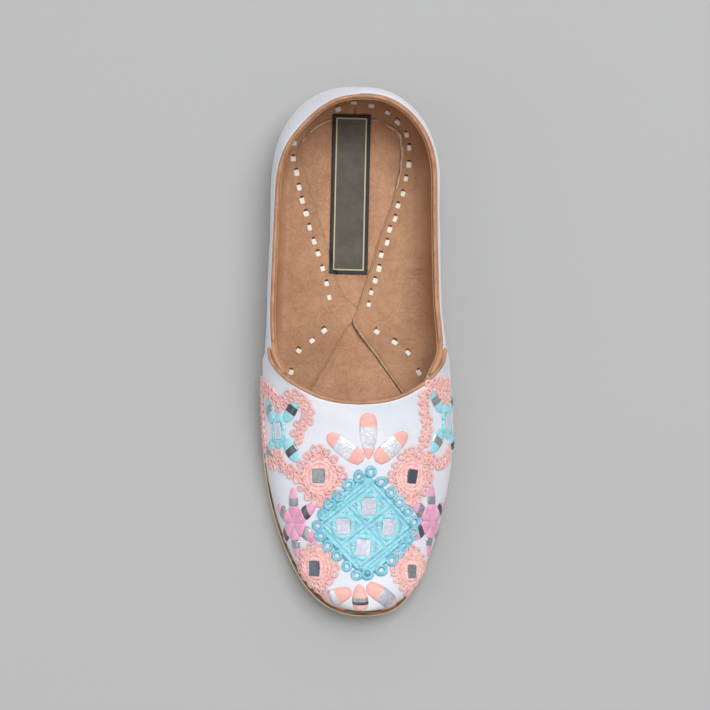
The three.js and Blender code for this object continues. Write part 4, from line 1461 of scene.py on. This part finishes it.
def frame_ring(work, middle, half_x, half_y, width, height, finish, square=4.0, turn=0.0):
    """A raised ring of thread worked round a mirror."""
    around = np.linspace(0, 2 * math.pi, FRAME_STEPS, endpoint=False)[:, None]
    round_angle = np.linspace(0, 2 * math.pi, FRAME_SIDES, endpoint=False)[None, :]
    rope = 1 + ROPE_DEPTH * np.sin(ROPE_STRANDS * around - round_angle)
    out = width / 2 * np.cos(round_angle) * rope
    lift = np.maximum(height * np.sin(round_angle) * rope, -SUNK)
    x, y = rounded(around, half_x + out, half_y + out, square)
    across, along_y = turned_on(middle, x, y, turn)
    points = cloth(across, along_y, lift + 0 * around)
    faces = [face[::-1] for face in tube_faces(FRAME_STEPS, FRAME_SIDES, closed=True)]
    grid = np.stack([out, around * (half_x + half_y) / 2 + 0 * out], axis=-1)
    work.add(points, faces, [finish] * len(faces), grid)


def mirror(work, middle, half_x, half_y, lift, finish, turn=0.0):
    """A flat plate with a bevelled edge, lying on the cloth's own slope at its middle."""
    step = 0.5
    centre = cloth(np.array(middle[0]), np.array(middle[1]), lift)
    ahead = cloth(np.array(middle[0] + step), np.array(middle[1]), lift) - centre
    up = cloth(np.array(middle[0]), np.array(middle[1] + step), lift) - centre
    ahead = ahead / np.linalg.norm(ahead)
    normal = np.cross(ahead, up)
    normal = normal / np.linalg.norm(normal)
    up = np.cross(normal, ahead)
    points = []
    for inset, height in ((0.0, -1.2), (0.0, -0.14), (0.2, 0.0)):
        for corner_x, corner_y in ((-1, -1), (1, -1), (1, 1), (-1, 1)):
            corner = (corner_x * (half_x - inset), corner_y * (half_y - inset))
            x, y = turned_on((0.0, 0.0), *corner, turn)
            points.append(centre + ahead * x + up * y + normal * height)
    faces = [(3, 2, 1, 0), (8, 9, 10, 11), *tube_faces(3, 4)]
    work.add(points, faces, [finish] * len(faces), np.zeros((len(points), 2)))


frames = Needlework()
mirrors = Needlework()
for row in CROSSED_FLOWERS:
    middle = places_of(row)
    frame_ring(frames, middle, finish=AQUA, **CROSS_FRAME)
    mirror(mirrors, middle, finish=GLASS_PAINTED_BRIGHT, **CROSS_MIRROR)
frames.piece("mirror_frames", "thread_aqua", FINISHES)

# Aqua medallion
# Four mirrors in eight-sided frames, set in a net of laid cords that cross on the slant, on a padded
# ground of darker aqua thread, painted shade that shows between the cords. The whole is couched to the
# satin at the middle of the vamp.
MEDALLION_X = 365.8
MEDALLION_Y = 526.2
CELL_DOWN_RIGHT = (19.4, 20.8)
CELL_DOWN_LEFT = (-24.8, 19.8)
GROUND_RINGS = 7
GROUND_STEPS = 48
CORD_OFFSETS = (-0.075, 0.075)
CORD_WIDTH = 1.85
FRAME_OUT = 1.1


def in_medallion(right, left):
    """Place on the cloth by cells of the net: down to the right and down to the left of its middle."""
    photo_x = MEDALLION_X + right * CELL_DOWN_RIGHT[0] + left * CELL_DOWN_LEFT[0]
    photo_y = MEDALLION_Y + right * CELL_DOWN_RIGHT[1] + left * CELL_DOWN_LEFT[1]
    return on_cloth(photo_x, photo_y)


def ground(work, middle, half_x, half_y, height, finish, square):
    """A low padded ground with threads round and round."""
    share = np.linspace(0, 1, GROUND_RINGS + 1)[:, None]
    around = np.linspace(0, 2 * math.pi, GROUND_STEPS, endpoint=False)[None, :]
    x, y = rounded(around, half_x * share, half_y * share, square)
    lift = height * np.maximum(1 - share**6, 0) ** 0.5 + 0 * around
    points = np.concatenate([cloth(middle[0] + x, middle[1] + y, lift).reshape(-1, 3),
                             cloth(middle[0] + x, middle[1] + y, 0 * lift - SUNK).reshape(-1, 3)])
    size = (GROUND_RINGS + 1) * GROUND_STEPS
    edge = GROUND_RINGS * GROUND_STEPS
    under = tube_faces(GROUND_RINGS + 1, GROUND_STEPS)
    faces = [face[::-1] for face in under]
    faces += [tuple(size + index for index in face) for face in under]
    for k in range(GROUND_STEPS):
        after = (k + 1) % GROUND_STEPS
        faces.append((edge + k, size + edge + k, size + edge + after, edge + after))
    grid = np.stack([around * half_x + 0 * share, share * (half_x + half_y) / 2 + 0 * around], axis=-1)
    work.add(points, faces, [finish] * len(faces), np.concatenate([grid, grid]).reshape(-1, 2))


def cord(work, start, end, height):
    run_x = end[0] - start[0]
    run_y = end[1] - start[1]
    middle = ((start[0] + end[0]) / 2, (start[1] + end[1]) / 2)
    petal(work, middle, math.degrees(math.atan2(run_y, run_x)), math.hypot(run_x, run_y), CORD_WIDTH,
          [(1.0, AQUA)], height=height, base=0.12, tip=0.12)


medallion = Needlework()
ground(medallion, in_medallion(0.0, 0.0), half_x=21.0, half_y=23.5, height=0.35, finish=SHADOW,
       square=1.3)
for line in (-1, 0, 1):
    for offset in CORD_OFFSETS:
        for cell in (-0.5, 0.5):
            for over in (0, 1):
                ends = [(cell + reach, line + offset) for reach in (-0.5, 0.5)]
                start, end = [in_medallion(*(end[::-1] if over else end)) for end in ends]
                cord(medallion, start, end, 0.95 + 0.3 * over)
for right in (-1.27, 1.27):
    for offset in CORD_OFFSETS:
        for cell in (-0.45, 0.45):
            ends = [in_medallion(right + offset, cell + reach) for reach in (-0.45, 0.45)]
            cord(medallion, *ends, 0.9)
for right in (-0.84, -0.17, 0.17, 0.84):
    for left in (-0.84, -0.17, 0.17, 0.84):
        petal(medallion, in_medallion(right, left), heading=60, length=1.7, width=1.3,
              bands=[(1.0, LILAC)], height=0.6)
AQUA_MIRRORS = [
    dict(right=-0.5, left=-0.5, turn=0, half_x=3.35, half_y=3.9),
    dict(right=-0.5, left=0.5, turn=0, half_x=3.2, half_y=3.7),
    dict(right=0.5, left=-0.5, turn=-4, half_x=3.0, half_y=3.9),
    dict(right=0.5, left=0.5, turn=-4, half_x=3.4, half_y=3.8),
]
for row in AQUA_MIRRORS:
    middle = in_medallion(row["right"], row["left"])
    frame_ring(medallion, middle, row["half_x"] + FRAME_OUT, row["half_y"] + FRAME_OUT, width=2.9,
               height=1.5, finish=AQUA, square=2.8, turn=row["turn"])
    mirror(mirrors, middle, row["half_x"], row["half_y"], lift=1.35, finish=GLASS_PAINTED_BRIGHT,
           turn=row["turn"])
medallion.piece("aqua_medallion", "thread_aqua", FINISHES)

# Peach medallions and lace
# Four smaller medallions at the corners of the large one: a mirror in a square frame, and threads round
# it. Bands of lace run from them round the crossed flowers, over a low ground of the same thread.
LACE_PITCH = 1.75
LACE_HALF = 1.4
LACE_GROUND = 2.3
GROUND_IN = 1.7
LACE_CHAINS = [
    dict(photo_x=(262, 266.7, 272.2, 278.4, 280.8, 284.7, 290.2, 297.2, 305, 308.9, 308.1, 300.3,
                  297.2, 301.9),
         photo_y=(383, 387.8, 394, 400.3, 408, 401.9, 395.6, 395.6, 403.4, 412.8, 421.4, 426,
                  433.1, 441)),
    dict(photo_x=(262.5, 262.8, 263.4, 264.2, 266), photo_y=(392, 404, 418, 434, 452)),
    dict(photo_x=(268, 273, 275, 280, 282, 288, 293, 297),
         photo_y=(458, 466, 454, 457, 466, 468, 473, 478)),
    dict(photo_x=(449, 442.5, 434.7, 428.4, 424.5), photo_y=(386, 384, 384.5, 386, 391)),
    dict(photo_x=(436, 440.9, 445.6, 448.8), photo_y=(388, 394.1, 401, 393)),
    dict(photo_x=(423.8, 423.3, 423.8, 426.9, 427.4, 424, 422.8),
         photo_y=(395, 405, 415, 422, 431, 438.5, 448)),
    dict(photo_x=(423.8, 428.4, 434.7, 440.9, 447.2, 449.5),
         photo_y=(453.4, 458.1, 465, 463.4, 457, 449)),
]


def lace_places(row):
    """Places of rings in a zigzag along a path, so that the lace is two rings wide."""
    across, along_y = places_of(row)
    reach = np.concatenate([[0.0], np.cumsum(np.hypot(np.diff(across), np.diff(along_y)))])
    steps = np.arange(0, reach[-1], LACE_PITCH)
    x = np.interp(steps, reach, across)
    y = np.interp(steps, reach, along_y)
    run_x = np.gradient(x)
    run_y = np.gradient(y)
    shift = LACE_HALF * np.where(np.arange(len(steps)) % 2, 1, -1) / np.hypot(run_x, run_y)
    return x - run_y * shift, y + run_x * shift


PEACH_MEDALLIONS = [
    dict(photo_x=319.3, photo_y=475.8, half_x=2.9, half_y=3.3, wide=11.0, high=12.6, turn=0,
         glass=GLASS_PAINTED_GREY),
    dict(photo_x=411.3, photo_y=476.3, half_x=2.3, half_y=3.3, wide=10.0, high=12.2, turn=-4,
         glass=GLASS_PAINTED_DARK),
    dict(photo_x=315.4, photo_y=567.6, half_x=2.6, half_y=3.5, wide=10.4, high=10.2, turn=-4,
         glass=GLASS_PAINTED_DARK),
    dict(photo_x=411.0, photo_y=570.5, half_x=2.3, half_y=3.0, wide=9.4, high=10.2, turn=3,
         glass=GLASS_PAINTED_GREY),
]
PEACH_RINGS = [
    dict(grow_x=2.9, grow_y=2.9, width=1.9, height=0.95, square=2.0, turned=0),
    dict(grow_x=4.8, grow_y=4.9, width=1.7, height=0.85, square=1.7, turned=0),
    dict(grow_x=0.7, grow_y=0.7, width=2.1, height=1.15, square=4.0, turned=1),
]
peaches = Needlework()
for row in PEACH_MEDALLIONS:
    middle = places_of(row)
    ground(peaches, middle, row["wide"] - GROUND_IN, row["high"] - GROUND_IN, height=0.3,
           finish=PEACH, square=1.4)
    for ring in PEACH_RINGS:
        turn = ring["turned"] * row["turn"]
        frame_ring(peaches, middle, row["half_x"] + ring["grow_x"], row["half_y"] + ring["grow_y"],
                   ring["width"], ring["height"], PEACH, ring["square"], turn)
    mirror(mirrors, middle, row["half_x"], row["half_y"], lift=1.15, finish=row["glass"],
           turn=row["turn"])
for path_x, path_y in map(places_of, LACE_CHAINS):
    for i in range(len(path_x) - 1):
        run_x = path_x[i + 1] - path_x[i]
        run_y = path_y[i + 1] - path_y[i]
        place = (path_x[i] + run_x / 2, path_y[i] + run_y / 2)
        length = 1.2 * math.hypot(run_x, run_y) + 1.0
        petal(peaches, place, math.degrees(math.atan2(run_y, run_x)), length, LACE_GROUND,
              [(1.0, PEACH)], height=0.45, base=0.15, tip=0.15)
peaches.piece("peach_medallions", "thread_peach", FINISHES)
glasses = [mirror_painted_bright_reflection, mirror_painted_grey_reflection, mirror_painted_dark_reflection]
mirrors.piece("mirror_plates", "mirror_glass", glasses).data.shade_flat()

# Looped thread
# Rings of twisted thread, looped one beside the other round each medallion and along the bands of lace.
# One ring is repeated at each place of its row.
LACE_RING = 1.4
LACE_TUBE = 0.6
BORDER_RING = 2.05
BORDER_TUBE = 0.85
BORDER_PLACES = [
    dict(photo_x=(370.9, 359.1, 348.7, 339.2, 330.7, 324.2, 318.6, 321.4, 328.4, 337.6, 347.2, 356.8),
         photo_y=(471.5, 476.5, 484.8, 496.0, 504.2, 514.4, 525.1, 535.2, 545.2, 555.0, 565.5, 574.5)),
    dict(photo_x=(367.3, 380.9, 391.6, 397.5, 402.7, 407.9, 412.4, 413.6, 407.3, 399.2, 390.8, 381.2),
         photo_y=(573.0, 569.5, 560.0, 553.0, 545.4, 538.5, 531.5, 521.5, 510.8, 501.6, 492.2, 481.3)),
]


def ring_shape(tree, given):
    """A ring of thread, drawn by sweeping one circle round another."""
    circle = add_node(tree, "GeometryNodeCurvePrimitiveCircle", None, Resolution=12,
                      Radius=given.outputs["Ring Radius"])
    profile = add_node(tree, "GeometryNodeCurvePrimitiveCircle", None, Resolution=6,
                       Radius=given.outputs["Thread Radius"])
    ring = add_node(tree, "GeometryNodeCurveToMesh", None, Curve=circle.outputs["Curve"])
    tree.links.new(profile.outputs["Curve"], ring.inputs["Profile Curve"])
    return ring.outputs["Mesh"]


def sew_rings(name, across, along_y, radius, tube, material, slot):
    """Sews rings of looped thread flat on the satin."""
    step = 0.4
    ahead = cloth(across + step, along_y, 0.0) - cloth(across - step, along_y, 0.0)
    up = cloth(across, along_y + step, 0.0) - cloth(across, along_y - step, 0.0)
    facings = np.cross(ahead, up)
    facings /= np.linalg.norm(facings, axis=-1, keepdims=True)
    values = {"Ring Radius": radius * MM, "Thread Radius": tube * MM, "Lump Height": 1.0 * MM,
              "Thread": material}
    places = cloth(across, along_y, tube * 0.7)
    return repeat_on_points(name, THREAD_RINGS, places, facings, ahead, values)


THREAD_RINGS = repeat_tree("thread_rings", ("Ring Radius", "Thread Radius"), ring_shape)
borders = [places_of(row) for row in BORDER_PLACES]
sew_rings("border_rings", *(np.concatenate(column) for column in zip(*borders)), BORDER_RING,
          BORDER_TUBE, aqua_thread, "thread_aqua")
laces = [lace_places(row) for row in LACE_CHAINS]
for row in PEACH_MEDALLIONS:
    middle = places_of(row)
    for grow, count in ((1.0, 17), (0.76, 13)):
        around = np.linspace(0, 2 * math.pi, count, endpoint=False) + 0.2 * (1 - grow)
        x, y = rounded(around, grow * row["wide"], grow * row["high"], 1.5)
        laces.append((middle[0] + x, middle[1] + y))
sew_rings("lace_rings", *(np.concatenate(column) for column in zip(*laces)), LACE_RING, LACE_TUBE,
          peach_thread, "thread_peach")
